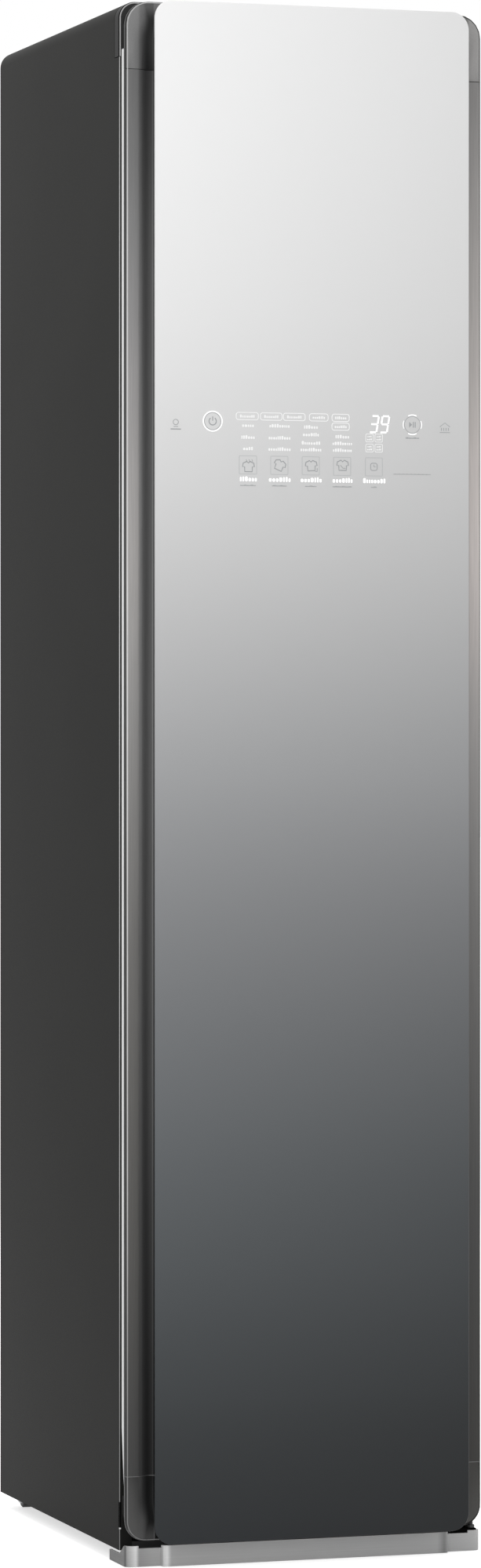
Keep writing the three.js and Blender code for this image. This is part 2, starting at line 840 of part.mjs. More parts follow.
function slottedGrille() {
  const [half, deep] = [grilleWidth / 2, grilleDepth / 2];
  const lip = roundedRectangle(-half - grilleLip, half + grilleLip, -deep - grilleLip, deep + grilleLip, grilleLip);
  const window = roundedRectangle(
    grilleFrame - half, half - grilleFrame, grilleFrame - deep, deep - grilleFrame, grilleLip / 2,
  );
  const face = standing(shapeOf(lip, [window]), 0, grilleThick / 2);
  const spigot = standing(shapeOf([
    [gap * 2 - half, gap * 2 - deep],
    [half - gap * 2, gap * 2 - deep],
    [half - gap * 2, deep - gap * 2],
    [gap * 2 - half, deep - gap * 2],
  ], [window]), -grilleThick, grilleThick / 4);
  const pitch = (grilleWidth - grilleFrame * 2) / (grilleBars + 1);
  const slant = pitch * grilleSlantShare;
  const bars = [];
  for (let bar = 1; bar <= grilleBars; bar += 1) {
    const x = grilleFrame - half + bar * pitch;
    const outline = shapeOf([
      [x - grilleBarThick / 2, grilleThick / 4],
      [x - grilleBarThick / 2 - slant, gap - grilleThick],
      [x + grilleBarThick / 2 - slant, gap - grilleThick],
      [x + grilleBarThick / 2, grilleThick / 4],
    ]);
    bars.push(facing(outline, grilleFrame / 2 - deep, deep - grilleFrame / 2));
  }
  return fuse(face, spigot, ...bars);
}

function makeGrilles() {
  const floorY = cabinBack - grilleBackClear - grilleDepth / 2;
  put('floor_grille', slottedGrille().translate(0, floorY, cabinFloor + gap), 0xbfc0c0, 0.5, 0);
  const upright = slottedGrille().rotateX(Math.PI / 2);
  put(
    'outlet_grille',
    upright.translate(0, cabinBack - gap, outletFoot + outletHeight / 2), 0xbfc0c0, 0.5, 0,
  );
}

// Steam nozzle in the cabin floor
const nozzleHead = 18;
const nozzleProud = 6;
const nozzleTail = 18;
const nozzleBore = 5;

function makeNozzle() {
  const profile = [
    [nozzleBore, linerBottom - nozzleTail],
    [nozzleRadius, linerBottom - nozzleTail],
    [nozzleRadius, cabinFloor + gap],
    [nozzleHead, cabinFloor + gap],
    [nozzleHead, cabinFloor + nozzleProud / 2],
    [nozzleRadius, cabinFloor + nozzleProud],
    [nozzleBore, cabinFloor + nozzleProud],
    [nozzleBore, linerBottom - nozzleTail],
  ];
  put('steam_nozzle', turned(profile, nozzleX, nozzleY), 0x9a9b9b, 0.4, 0.3);
}

// Removable slatted shelf on the two ledges
const shelfThick = 12;
const shelfRim = 12;
const shelfSlats = 9;
const shelfSlatWidth = 14;
const shelfCorner = 14;

function makeShelf() {
  const half = cabinHalf - gap * 2;
  const outline = roundedRectangle(-half, half, shelfFront, shelfBack, shelfCorner);
  const window = roundedRectangle(
    shelfRim - half, half - shelfRim, shelfFront + shelfRim, shelfBack - shelfRim, shelfCorner / 2,
  );
  const frame = standing(shapeOf(outline, [window]), shelfBottom, shelfBottom + shelfThick);
  const pitch = (half - shelfRim) * 2 / (shelfSlats + 1);
  const slats = [];
  for (let slat = 1; slat <= shelfSlats; slat += 1) {
    const x = shelfRim - half + slat * pitch;
    slats.push(block(
      x - shelfSlatWidth / 2, x + shelfSlatWidth / 2,
      shelfFront + shelfRim / 2, shelfBack - shelfRim / 2,
      shelfBottom + shelfThick / 3, shelfBottom + shelfThick * 2 / 3,
    ));
  }
  put('shelf', fuse(frame, ...slats), 0xcfcfce, 0.5, 0);
}

// Lint filter: a framed screen that lifts out of the floor by its handle
const filterDrop = 60;
const filterProud = 3;
const filterLip = 4;
const filterHandle = 60;
const filterHandleTall = 22;
const filterHandleWall = 5;
const filterWindows = 5;
const filterBar = 5;

function makeLintFilter() {
  const half = filterWidth / 2;
  const bottom = linerBottom - filterDrop;
  const top = cabinFloor + gap + filterProud;
  const windows = [];
  const pitch = (filterWidth - filterBar) / filterWindows;
  for (let n = 0; n < filterWindows; n += 1) {
    const x = filterBar - half + n * pitch;
    windows.push(block(
      x, x + pitch - filterBar,
      filterFront - overrun, filterFront + filterThick + overrun,
      bottom + filterBar, linerBottom - filterBar,
    ));
  }
  const body = block(-half, half, filterFront, filterFront + filterThick, bottom, top);
  const lip = block(
    -half - filterLip, half + filterLip,
    filterFront - filterLip, filterFront + filterThick + filterLip,
    cabinFloor + gap, top,
  );
  const arch = roundedRectangle(
    -filterHandle / 2, filterHandle / 2, top - filterHandleWall, top + filterHandleTall, filterHandleWall * 2,
  );
  const hole = roundedRectangle(
    filterHandleWall - filterHandle / 2, filterHandle / 2 - filterHandleWall,
    top, top + filterHandleTall - filterHandleWall, filterHandleWall,
  );
  const handle = facing(
    shapeOf(arch, [hole]), filterFront + filterThick / 4, filterFront + filterThick * 3 / 4,
  );
  put('lint_filter', fuse(cut(body, ...windows), lip, handle), 0x8f9aa0, 0.5, 0);
}

// Hanger drive over the cabin ceiling: motor, crank and the beam that it shakes
const barDrop = 41.5;
const barZ = cabinCeiling - barDrop;
const barRadius = 8;
const barInset = 35.5;
const barHalf = cabinHalf - barInset;
const barCollar = 11;
const barCollarWidth = 5;
const barCap = 10;
const hangerSideClear = 20;
const hangerPitch = strapX - strapHalf - hangerSideClear;
const hangerCount = 3;
const beamClear = 8;
const beamBottom = linerTop + beamClear;
const beamThick = 6;
const beamDepth = 24;
const beamInset = 0.5;
const guideInset = 5.5;
const beamHalf = cabinHalf - beamInset;
const guideInner = barHalf;
const guideOuter = cabinHalf - guideInset;
const guideWall = 4;
const crankPin = 5;
const crankThrow = 20;
const crankRadius = 30;
const crankThick = 6;
const crankShaft = 4;
const crankPinGap = 0.6;
const yokeWall = 9;
const motorPlate = 2;
const motorPlateHalf = 55;
const motorLegY = 46;
const motorRadius = 34;
const motorHeight = 38;
const motorShaftHole = 7;
const shaftReach = 14;
const beamTop = beamBottom + beamThick;
const crankBottom = beamTop + crankThick;
const crankTop = crankBottom + crankThick;
const motorPlateBottom = crankTop + runningGap * 2;
const motorPlateTop = motorPlateBottom + motorPlate;

function makeHangerBar() {
  const pieces = [];
  for (const side of [-1, 1]) {
    pieces.push(block(
      side * strapX - strapHalf, side * strapX + strapHalf,
      barY - strapThick / 2, barY + strapThick / 2,
      barZ, beamBottom + beamThick / 2,
    ));
    pieces.push(crossRod(
      barY, barZ, barCap,
      side * barHalf - barCollarWidth, side * barHalf + barCollarWidth,
    ));
  }
  for (let n = 0; n <= hangerCount; n += 1) {
    const x = (n - hangerCount / 2) * hangerPitch;
    pieces.push(crossRod(barY, barZ, barCollar, x - barCollarWidth / 2, x + barCollarWidth / 2));
  }
  pieces.push(block(-beamHalf, beamHalf, barY - beamDepth / 2, barY + beamDepth / 2, beamBottom, beamTop));
  const slotHalf = crankPin + gap;
  const slotReach = crankThrow + slotHalf;
  const yoke = roundedRectangle(
    -slotHalf - yokeWall, slotHalf + yokeWall,
    barY - slotReach - yokeWall, barY + slotReach + yokeWall,
    yokeWall,
  );
  pieces.push(standing(shapeOf(yoke), beamBottom, beamTop));
  const slot = standing(shapeOf(roundedRectangle(
    -slotHalf, slotHalf, barY - slotReach, barY + slotReach, slotHalf - gap / 2,
  )), beamBottom - overrun, beamTop + overrun);
  const bar = crossRod(barY, barZ, barRadius, -barHalf, barHalf);
  put('hanger_bar', cut(fuse(bar, ...pieces), slot), 0xc9caca, 0.25, 0.9);
}

function makeBarGuides() {
  for (const [label, side] of [['left', -1], ['right', 1]]) {
    const [x0, x1] = [guideInner, guideOuter].map((x) => side * x).sort((a, b) => a - b);
    const half = beamDepth / 2 + gap;
    const outer = block(
      x0, x1, barY - half - guideWall, barY + half + guideWall,
      linerTop + gap, beamTop + gap + guideWall,
    );
    const way = block(
      x0 - overrun, x1 + overrun, barY - half, barY + half, beamBottom - gap, beamTop + gap,
    );
    put(`bar_guide_${label}`, cut(outer, way), 0xe6e2d6, 0.5, 0);
  }
}

function makeHangerDrive() {
  const turn = turned([
    [0, crankBottom],
    [crankRadius, crankBottom],
    [crankRadius, crankTop],
    [crankShaft, crankTop],
    [crankShaft, motorPlateTop + shaftReach],
    [0, motorPlateTop + shaftReach],
  ], 0, barY);
  const pin = uprightRod(crankThrow, barY, crankPin, beamTop + crankPinGap, crankBottom + crankThick / 2, smallSides);
  put('crank_disc', fuse(turn, pin), 0x9c9d9e, 0.35, 0.9);
  const half = motorPlateHalf;
  const plate = block(-half, half, barY - motorLegY, barY + motorLegY, motorPlateBottom, motorPlateTop);
  const legs = [-1, 1].map((side) => {
    const [y0, y1] = [side * motorLegY, side * (motorLegY - motorPlate)].sort((a, b) => a - b);
    return block(-half, half, barY + y0, barY + y1, linerTop + gap, motorPlateTop - motorPlate / 2);
  });
  const hole = uprightRod(0, barY, motorShaftHole, motorPlateBottom - overrun, motorPlateTop + overrun);
  put('motor_bracket', cut(fuse(plate, ...legs), hole), 0x8c8d8e, 0.45, 0.8);
  const foot = motorPlateTop + gap;
  const step = motorHeight / 5;
  const can = turned([
    [crankShaft + gap, foot],
    [motorRadius, foot],
    [motorRadius, foot + step],
    [motorRadius - step / 2, foot + step],
    [motorRadius - step / 2, foot + motorHeight - step],
    [motorRadius - step, foot + motorHeight],
    [0, foot + motorHeight],
    [0, foot + shaftReach + gap],
    [crankShaft + gap, foot + shaftReach + gap],
    [crankShaft + gap, foot],
  ], 0, barY);
  put('shaker_motor', can, 0x55585a, 0.4, 0.8);
}

// Hangers: a hooked wire over a contoured body whose ends swell to a shoulder
const hookWire = 2;
const hookRadius = 14;
const hookOpenShare = 0.18;
const hookEndShare = 1.32;
const hookSteps = 10;
const stemLength = 26;
const hangerEndClear = 29;
const hangerHalf = (cabinBack - linerFront) / 2 - hangerEndClear;
const hangerDropShare = 0.3;
const hangerBow = 1.4;
const hangerTipShare = 0.6;
const hangerNeckHeight = 20;
const hangerEndHeight = 15;
const hangerNeckWidth = 12;
const hangerEndWidth = 34;
const hangerSpans = 6;
const hangerSides = 8;
const wireSides = 6;

function makeHanger(label, x) {
  const hookCentre = barZ + barRadius + gap - hookRadius;
  const wireRadius = hookRadius + hookWire;
  const points = [];
  for (let i = 0; i <= hookSteps; i += 1) {
    const angle = Math.PI * (-hookOpenShare + (hookEndShare + hookOpenShare) * i / hookSteps);
    points.push(new THREE.Vector3(
      x, barY - wireRadius * Math.cos(angle), hookCentre + wireRadius * Math.sin(angle),
    ));
  }
  const neckZ = hookCentre - wireRadius - stemLength;
  points.push(new THREE.Vector3(x, barY, hookCentre - wireRadius - stemLength / 3));
  points.push(new THREE.Vector3(x, barY, neckZ));
  const wire = new THREE.ExtrudeGeometry(
    shapeOf(circlePoints(hookWire, wireSides)),
    { steps: hookSteps + hookSteps / 2, extrudePath: new THREE.CatmullRomCurve3(points), bevelEnabled: false },
  );
  const rings = [];
  const outline = circlePoints(1, hangerSides);
  for (let i = -hangerSpans; i <= hangerSpans; i += 1) {
    const share = Math.abs(i) / hangerSpans;
    const y = barY + hangerHalf * i / hangerSpans;
    const drop = hangerHalf * hangerDropShare * (share ** hangerBow);
    const tall = hangerNeckHeight + (hangerEndHeight - hangerNeckHeight) * share;
    const wide = hangerNeckWidth + (hangerEndWidth - hangerNeckWidth) * share ** 2;
    const close = share === 1 ? hangerTipShare : 1;
    rings.push(outline.map(([u, v]) => [
      x + u * wide / 2 * close, y, neckZ - hangerNeckHeight / 3 - drop + v * tall / 2 * close,
    ]));
  }
  put(label, fuse(loft(rings, outline), wire), 0x9b7a55, 0.5, 0);
}

// Lamp lens under the cabin ceiling
const lensHalf = 55;
const lensSetback = 83;
const lensDepth = 50;
const lensFrontY = caseFront + lensSetback;
const lensBackY = lensFrontY + lensDepth;
const lensThick = 7;

function makeLampLens() {
  const top = cabinCeiling - gap;
  const lens = standing(shapeOf(roundedRectangle(
    -lensHalf, lensHalf, lensFrontY, lensBackY, linerCorner / 2,
  )), top - lensThick, top);
  put('lamp_lens', lens, 0xf4f1e4, 0.3, 0);
}

// Bay for the two water tanks, open to the front
const bayFilterClear = 4;

function makeTankBay() {
  const back = bayBack;
  const outer = block(-linerHalf, linerHalf, linerFront, back, bayBottom, bayTop);
  const inner = block(
    -cabinHalf, cabinHalf, linerFront - overrun, back - linerWall,
    bayBottom + linerWall, bayTop - linerWall,
  );
  const half = filterWidth / 2 + bayFilterClear;
  const filterRoom = block(
    -half, half, filterFront - bayFilterClear, filterFront + filterThick + bayFilterClear,
    bayTop - linerWall - overrun, bayTop + overrun,
  );
  put('tank_bay', cut(outer, inner, filterRoom), 0xd5d5d3, 0.5, 0);
}

// Water tanks side by side, each with a finger recess and a filler neck under a cap
const tankGap = 6;
const tankHeadroom = 55;
const tankTop = bayTop - tankHeadroom;
const tankSetback = 9;
const tankBackClear = 20;
const tankFront = caseFront + tankSetback;
const tankBack = bayBack - tankBackClear;
const tankCorner = 14;
const tankRecessWidth = 90;
const tankRecessHeight = 30;
const tankRecessDepth = 22;
const tankRecessDrop = 50;
const neckRadius = 20;
const neckDepth = 12;
const capRadius = 26;
const capHeight = 8;
const capSpigot = 9;

function makeTank(name, capName, side, color) {
  const innerX = side * tankGap / 2;
  const outerX = side * (cabinHalf - tankGap / 2);
  const [x0, x1] = [Math.min(innerX, outerX), Math.max(innerX, outerX)];
  const middle = (x0 + x1) / 2;
  const bottom = bayBottom + linerWall + gap;
  const plan = roundedRectangle(x0, x1, tankFront, tankBack, tankCorner);
  const body = standing(shapeOf(plan), bottom, tankTop);
  const recess = block(
    middle - tankRecessWidth / 2, middle + tankRecessWidth / 2,
    tankFront - overrun, tankFront + tankRecessDepth,
    tankTop - tankRecessDrop - tankRecessHeight, tankTop - tankRecessDrop,
  );
  const neckY = (tankFront + tankBack) / 2;
  const neck = uprightRod(middle, neckY, neckRadius, tankTop - neckDepth, tankTop + overrun);
  put(name, cut(body, recess, neck), color, 0.2, 0);
  const foot = tankTop + gap;
  put(capName, turned([
    [0, foot - capSpigot],
    [neckRadius - gap, foot - capSpigot],
    [neckRadius - gap, foot],
    [capRadius, foot],
    [capRadius, foot + capHeight - gap * 2],
    [capRadius - gap * 2, foot + capHeight],
    [0, foot + capHeight],
  ], middle, neckY), 0x5b6064, 0.5, 0);
}

// Heat exchangers: a flat core with fins on both sides, on two end feet
const machineFloor = panFloor + gap;
const coilInset = 22.5;
const coilLeft = coilInset - halfWidth;
const coilRight = -20;
const coilTop = 235;
const coilDepth = 40;
const coilClear = 7;
const coilFront = bayBack + coilClear;
const coilSpace = 5;
const finPitch = 14;
const finThick = 1.6;
const coilCore = 6;
const coilLift = 14;
const coilEnd = 10;
const headerRadius = 7;

function makeCoil(name, front, color) {
  const fins = Math.floor((coilRight - coilLeft - finThick) / finPitch);
  const middle = front + coilDepth / 2;
  const top = [];
  const bottom = [];
  for (let fin = 0; fin <= fins; fin += 1) {
    const x = coilLeft + fin * finPitch;
    bottom.push([x, front], [x + finThick, front]);
    top.push([x, front + coilDepth], [x + finThick, front + coilDepth]);
    if (fin < fins) {
      bottom.push([x + finThick, middle - coilCore / 2], [x + finPitch, middle - coilCore / 2]);
      top.push([x + finThick, middle + coilCore / 2], [x + finPitch, middle + coilCore / 2]);
    }
  }
  const comb = standing(shapeOf([...bottom, ...top.reverse()]), machineFloor + coilLift, coilTop);
  const right = coilLeft + fins * finPitch + finThick - coilEnd;
  const plates = [coilLeft, right].map((x) => block(
    x, x + coilEnd, front, front + coilDepth, machineFloor, coilTop + coilEnd / 2,
  ));
  const headers = [machineFloor + coilLift + coilDepth / 2, coilTop - coilDepth / 2].map((z) => crossRod(
    middle, z, headerRadius, right + coilEnd / 2, right + coilEnd * 3, smallSides,
  ));
  put(name, fuse(comb, ...plates, ...headers), color, 0.4, 0.9);
}

// Blower: a volute on a stand, its wheel and its motor
const blowerInset = 127.5;
const blowerClear = 10;
const blowerX = blowerInset - halfWidth;
const blowerFront = coilFront + coilDepth * 2 + coilSpace + blowerClear;
const blowerDepth = 60;
const blowerWall = 2;
const blowerLegHalf = 10;
const wheelRadius = 52;
const wheelClear = 6;
const voluteGrowth = 24;
const voluteSteps = 20;
const inletRadius = 42;
const chuteClear = 54.5;
const chuteHeight = 88;
const chuteTop = cabinFloor - chuteClear;
const blowerZ = chuteTop - chuteHeight;
const wheelInner = 40;
const wheelPlate = 2;
const wheelRing = 3;
const wheelBlades = 14;
const wheelSkewShare = 0.12;
const hubRadius = 10;
const fanShaft = 4;
const fanMotorRadius = 34;
const fanMotorDepth = 42;

function makeBlower() {
  const start = wheelRadius + wheelClear;
  const back = blowerFront + blowerDepth;
  function outline(inset, top) {
    const points = [];
    for (let i = 0; i <= voluteSteps; i += 1) {
      const share = i / voluteSteps;
      const angle = Math.PI / 2 - Math.PI * 1.5 * share;
      const radius = start + voluteGrowth * share - inset;
      points.push([blowerX + radius * Math.cos(angle), blowerZ + radius * Math.sin(angle)]);
    }
    const outerX = blowerX - start - voluteGrowth + inset;
    points.push([outerX, top], [blowerX - inset, top]);
    return points;
  }
  const outer = facing(shapeOf(outline(0, chuteTop)), blowerFront, back);
  const inner = facing(shapeOf(outline(blowerWall, chuteTop + overrun)), blowerFront + blowerWall, back - blowerWall);
  const inlet = depthRod(blowerX, blowerZ, inletRadius, blowerFront - overrun, blowerFront + blowerWall + overrun);
  const shaftHole = depthRod(
    blowerX, blowerZ, fanShaft * 2, back - blowerWall - overrun, back + overrun, smallSides,
  );
  const legs = [-1, 1].map((side) => block(
    blowerX + side * start / 2 - blowerLegHalf, blowerX + side * start / 2 + blowerLegHalf,
    blowerFront, back, machineFloor, blowerZ - start,
  ));
  const stand = cut(fuse(outer, ...legs), inner, inlet, shaftHole);
  put('blower_housing', stand, 0x3a3c3e, 0.55, 0);

  const wheelFront = blowerFront + blowerWall * 2;
  const wheelBack = back - blowerWall * 3;
  const bore = depthRod(blowerX, blowerZ, fanShaft + gap, wheelFront, back, smallSides);
  const plate = depthRod(blowerX, blowerZ, wheelRadius, wheelBack - wheelPlate, wheelBack);
  const hub = depthRod(blowerX, blowerZ, hubRadius, wheelBack - hubRadius * 2, wheelBack, smallSides);
  const ring = cut(
    depthRod(blowerX, blowerZ, wheelRadius, wheelFront, wheelFront + wheelRing),
    depthRod(blowerX, blowerZ, wheelInner, wheelFront - overrun, wheelFront + wheelRing + overrun),
  );
  const blades = [];
  for (let blade = 0; blade < wheelBlades; blade += 1) {
    const angle = Math.PI * 2 * blade / wheelBlades;
    const lead = angle + Math.PI * 2 * wheelSkewShare / 2;
    const spread = wheelPlate / wheelRadius / 2;
    const inner = wheelInner + wheelPlate / 2;
    const outerR = wheelRadius - wheelPlate / 2;
    const corners = [
      [inner, angle - spread],
      [outerR, lead - spread],
      [outerR, lead + spread],
      [inner, angle + spread],
    ].map(([r, a]) => [blowerX + r * Math.cos(a), blowerZ + r * Math.sin(a)]);
    blades.push(facing(shapeOf(corners), wheelFront + wheelRing / 2, wheelBack - wheelPlate / 2));
  }
  put('blower_wheel', cut(fuse(plate, hub, ring, ...blades), bore), 0x4c5560, 0.5, 0);

  const motorFront = back + gap;
  const can = depthRod(blowerX, blowerZ, fanMotorRadius, motorFront, motorFront + fanMotorDepth);
  const shaft = depthRod(
    blowerX, blowerZ, fanShaft, wheelBack - hubRadius * 2, motorFront + fanMotorDepth / 2, smallSides,
  );
  put('blower_motor', fuse(can, shaft), 0x5d6062, 0.4, 0.8);
}

// Air duct from the blower up the back of the cabin to the outlet grille
const ductWall = 2;
const ductMargin = 5;
const ductRear = 60;
const ductLeft = blowerX - wheelRadius - wheelClear - voluteGrowth - ductMargin;
const ductRight = grilleWidth / 2 + ductWall;
const ductBack = cabinBack + ductRear;
const ductOutletClear = 14;
const ductTop = outletFoot + outletHeight + ductOutletClear;
const ductBottom = chuteTop + gap;

function makeAirDuct() {
  function outline(inset) {
    return [
      [blowerFront + inset, ductBottom + inset],
      [ductBack - inset, ductBottom + inset],
      [ductBack - inset, ductTop - inset],
      [cabinBack + linerWall + gap + inset, ductTop - inset],
      [cabinBack + linerWall + gap + inset, linerBottom - grilleThick - inset],
      [blowerFront + inset, linerBottom - grilleThick - inset],
    ];
  }
  const start = wheelRadius + wheelClear;
  const inlet = block(
    blowerX - start - voluteGrowth + blowerWall, blowerX - blowerWall,
    blowerFront + ductWall, blowerFront + blowerDepth - blowerWall,
    ductBottom - overrun, ductBottom + ductWall + overrun,
  );
  const outlet = block(
    gap - grilleWidth / 2, grilleWidth / 2 - gap,
    cabinBack, cabinBack + linerWall + ductWall + overrun,
    outletFoot + gap, outletFoot + outletHeight - gap,
  );
  put('air_duct', cut(
    sideways(shapeOf(outline(0)), ductLeft, ductRight),
    sideways(shapeOf(outline(ductWall)), ductLeft + ductWall, ductRight - ductWall),
    inlet, outlet,
  ), 0xe8e8e6, 0.7, 0);
}

// Compressor: a welded shell with domed ends on a three lobed foot
const compressorInset = 117.5;
const compressorSetback = 72.5;
const compressorX = halfWidth - compressorInset;
const compressorY = backPanelY - compressorSetback;
const compressorRadius = 54;
const compressorTop = 205;
const compressorBase = 30;
const compressorDome = 22;
const compressorFoot = 62;
const compressorFootThick = 4;

function makeCompressor() {
  const shellBottom = machineFloor + compressorBase;
  const profile = [[0, shellBottom - compressorDome / 2]];
  profile.push(...arcPoints(
    compressorRadius - compressorDome, shellBottom + compressorDome / 2,
    compressorDome, -Math.PI / 2, 0, bendSteps,
  ));
  profile.push(...arcPoints(
    compressorRadius - compressorDome, compressorTop - compressorDome,
    compressorDome, 0, Math.PI / 2, bendSteps,
  ));
  profile.push([0, compressorTop]);
  const shell = turned(profile, compressorX, compressorY);
  const feet = [0, 1, 2].map((n) => {
    const angle = Math.PI * 2 * n / 3;
    const [x, y] = [
      compressorX + compressorFoot * Math.cos(angle) / 2,
      compressorY + compressorFoot * Math.sin(angle) / 2,
    ];
    return uprightRod(x, y, compressorDome, machineFloor, shellBottom, smallSides);
  });
  const stub = uprightRod(
    compressorX - compressorRadius / 2, compressorY, headerRadius, compressorTop - compressorDome,
    compressorTop + compressorDome, smallSides,
  );
  put('compressor', fuse(shell, ...feet, stub), 0x1d1e1f, 0.35, 0.5);
}

// Steam generator with its hose to the nozzle
const boilerLeft = 15;
const boilerInset = 32.5;
const boilerClear = 8;
const boilerDepth = 80;
const boilerRight = halfWidth - boilerInset;
const boilerFront = bayBack + boilerClear;
const boilerBack = boilerFront + boilerDepth;
const boilerTop = 140;
const boilerLid = 8;
const boilerCorner = 12;
const spoutInset = 17;
const hoseX = boilerLeft + spoutInset;
const hoseRadius = 8;
const hoseBore = 5;
const spoutHeight = 12;
const hoseSteps = 12;
const hoseSides = 8;
const hoseRise = 60;

function makeSteamGenerator() {
  const body = standing(shapeOf(roundedRectangle(
    boilerLeft, boilerRight, boilerFront, boilerBack, boilerCorner,
  )), machineFloor, boilerTop - boilerLid);
  const lid = standing(shapeOf(roundedRectangle(
    boilerLeft - boilerLid / 2, boilerRight + boilerLid / 2,
    boilerFront - boilerLid / 2, boilerBack + boilerLid / 2,
    boilerCorner,
  )), boilerTop - boilerLid - gap, boilerTop);
  const spout = uprightRod(hoseX, nozzleY, hoseRadius, boilerTop - boilerLid / 2, boilerTop + spoutHeight, smallSides);
  put('steam_generator', fuse(body, lid, spout), 0xb9b4a4, 0.45, 0.2);

  const start = boilerTop + spoutHeight + gap;
  const end = linerBottom - nozzleTail - gap;
  const points = [
    new THREE.Vector3(hoseX, nozzleY, start),
    new THREE.Vector3(hoseX, nozzleY, start + hoseRise / 2),
    new THREE.Vector3(hoseX, nozzleY, start + hoseRise),
    new THREE.Vector3(hoseX + (nozzleX - hoseX) / 4, nozzleY, start + (end - start) / 2),
    new THREE.Vector3(hoseX + (nozzleX - hoseX) * 3 / 4, nozzleY, end - (end - start) / 4),
    new THREE.Vector3(nozzleX, nozzleY, end - hoseRise / 2),
    new THREE.Vector3(nozzleX, nozzleY, end),
  ];
  const section = shapeOf(circlePoints(hoseRadius, hoseSides), [circlePoints(hoseBore, hoseSides)]);
  put('steam_hose', new THREE.ExtrudeGeometry(section, {
    steps: hoseSteps, extrudePath: new THREE.CatmullRomCurve3(points), bevelEnabled: false,
  }), 0x2a2b2c, 0.7, 0);
}

// Control box on the back of the tank bay
const controlClear = 28;
const controlInset = 37.5;
const controlLeft = hoseX + controlClear;
const controlRight = halfWidth - controlInset;
const controlBottom = 210;
const controlTop = 340;
const controlDepth = 55;
const controlVents = 6;
const controlVentHeight = 4;

function makeControlBox() {
  const front = bayBack + gap;
  const shell = block(controlLeft, controlRight, front, front + controlDepth, controlBottom, controlTop);
  const vents = [];
  const pitch = (controlTop - controlBottom) / (controlVents + 1);
  for (let n = 1; n <= controlVents; n += 1) {
    const z = controlBottom + n * pitch;
    vents.push(block(
      controlLeft + pitch, controlRight - pitch,
      front + controlDepth - controlVentHeight, front + controlDepth + overrun,
      z, z + controlVentHeight,
    ));
  }
  put('control_box', cut(shell, ...vents), 0xd9d9d6, 0.6, 0);
}

// Door hinge: a bracket at each end of the door, its plate behind the case front
const hingePlateInset = 26.5;
const hingePlateLeft = halfWidth - hingePlateInset;
const hingePlateHeight = 36;
const hingePinLength = 22;
const hingeTipRound = 4.9;

function makeHingeBrackets() {
  const half = hingeArmWidth / 2;
  const plateFront = bezelBack + gap;
  const plateBack = plateFront + hingeArm;
  const armPlan = shapeOf([
    [hingeX - half, plateBack],
    [hingeX - half, hingeY],
    ...arcPoints(hingeX, hingeY, hingeTipRound, Math.PI, Math.PI * 2, cornerSteps),
    [hingeX + half, hingeY],
    [hingeX + half, plateBack],
  ]);
  const lowerPlate = block(
    hingePlateLeft, hingeX + half, plateFront, plateBack, lowerArmBottom, lowerArmBottom + hingePlateHeight,
  );
  const lowerPin = uprightRod(
    hingeX, hingeY, hingePin, lowerArmTop - hingeArm / 2,
    frameBottom + frameCorner, smallSides,
  );
  put('hinge_bracket_bottom', fuse(
    standing(armPlan, lowerArmBottom, lowerArmTop), lowerPlate, lowerPin,
  ), 0x2e2e2e, 0.4, 0.8);
  const upperPlate = block(
    hingePlateLeft, hingeX + half, plateFront, plateBack, upperArmTop - hingePlateHeight, upperArmTop,
  );
  const upperPin = uprightRod(
    hingeX, hingeY, hingePin, upperArmBottom - hingePinLength, upperArmBottom + hingeArm / 2, smallSides,
  );
  put('hinge_bracket_top', fuse(
    standing(armPlan, upperArmBottom, upperArmTop), upperPlate, upperPin,
  ), 0x2e2e2e, 0.4, 0.8);
}

// Door glass
function makeGlass() {
  const half = glassWidth / 2;
  const outline = shapeOf(roundedRectangle(-half, half, glassBottom, glassTop, glassCorner));
  const geometry = new THREE.ExtrudeGeometry(outline, {
    depth: glassThickness - glassBevel * 2,
    bevelEnabled: true,
    bevelThickness: glassBevel,
    bevelSize: glassBevel,
    bevelOffset: -glassBevel,
    bevelSegments: 1,
  });
  const turn = new THREE.Matrix4().makeBasis(
    new THREE.Vector3(1, 0, 0),
    new THREE.Vector3(0, 0, 1),
    new THREE.Vector3(0, -1, 0),
  );
  put('door_glass', geometry.applyMatrix4(turn).translate(0, glassBack - glassBevel, 0), 0x9fa4a6, 0.05, 0.3);
}

// Finger groove beside the glass, from the face of the frame in behind the glass edge
const webInset = plateauWidth + grooveFall + grooveRise;
const grooveEndClear = 17;
const grooveRunout = 30;
const grooveSteps = 5;

function groovePoints() {
  const points = [];
  for (let i = 0; i <= grooveSteps; i += 1) {
    const share = i / grooveSteps;
    const fall = (1 - Math.cos(Math.PI * share)) / 2;
    points.push([plateauWidth + grooveFall * share, frameFront + grooveDepth * fall]);
  }
  const centre = frameFront + grooveDepth - grooveRise;
  return [
    ...points,
    ...arcPoints(plateauWidth + grooveFall, centre, grooveRise, Math.PI / 2, 0, bendSteps + 1).slice(1),
  ];
}

// Front edge of the frame, round at its outer corner
function frameEdgePoints() {
  return [
    [0, frameBack],
    ...arcPoints(frameEdge, frameFront + frameEdge, frameEdge, Math.PI, Math.PI * 3 / 2, bendSteps),
  ];
}

function makeStiles() {
  const section = [
    ...frameEdgePoints(),
    ...groovePoints(),
    [webInset, glassBack + gap],
    [webInset + webThickness, glassBack + gap],
    [webInset + webThickness, frameBack],
  ];
  const left = sweep(section, [
    { x: -halfWidth, z: bottomCapHead + gap, nx: -1, nz: 0 },
    { x: -halfWidth, z: topCapFoot - gap, nx: -1, nz: 0 },
  ]);
  put('door_stile_left', left, 0x7b7a78, 0.3, 0.8);
  put('door_stile_right', mirrored(left), 0x7b7a78, 0.3, 0.8);
}

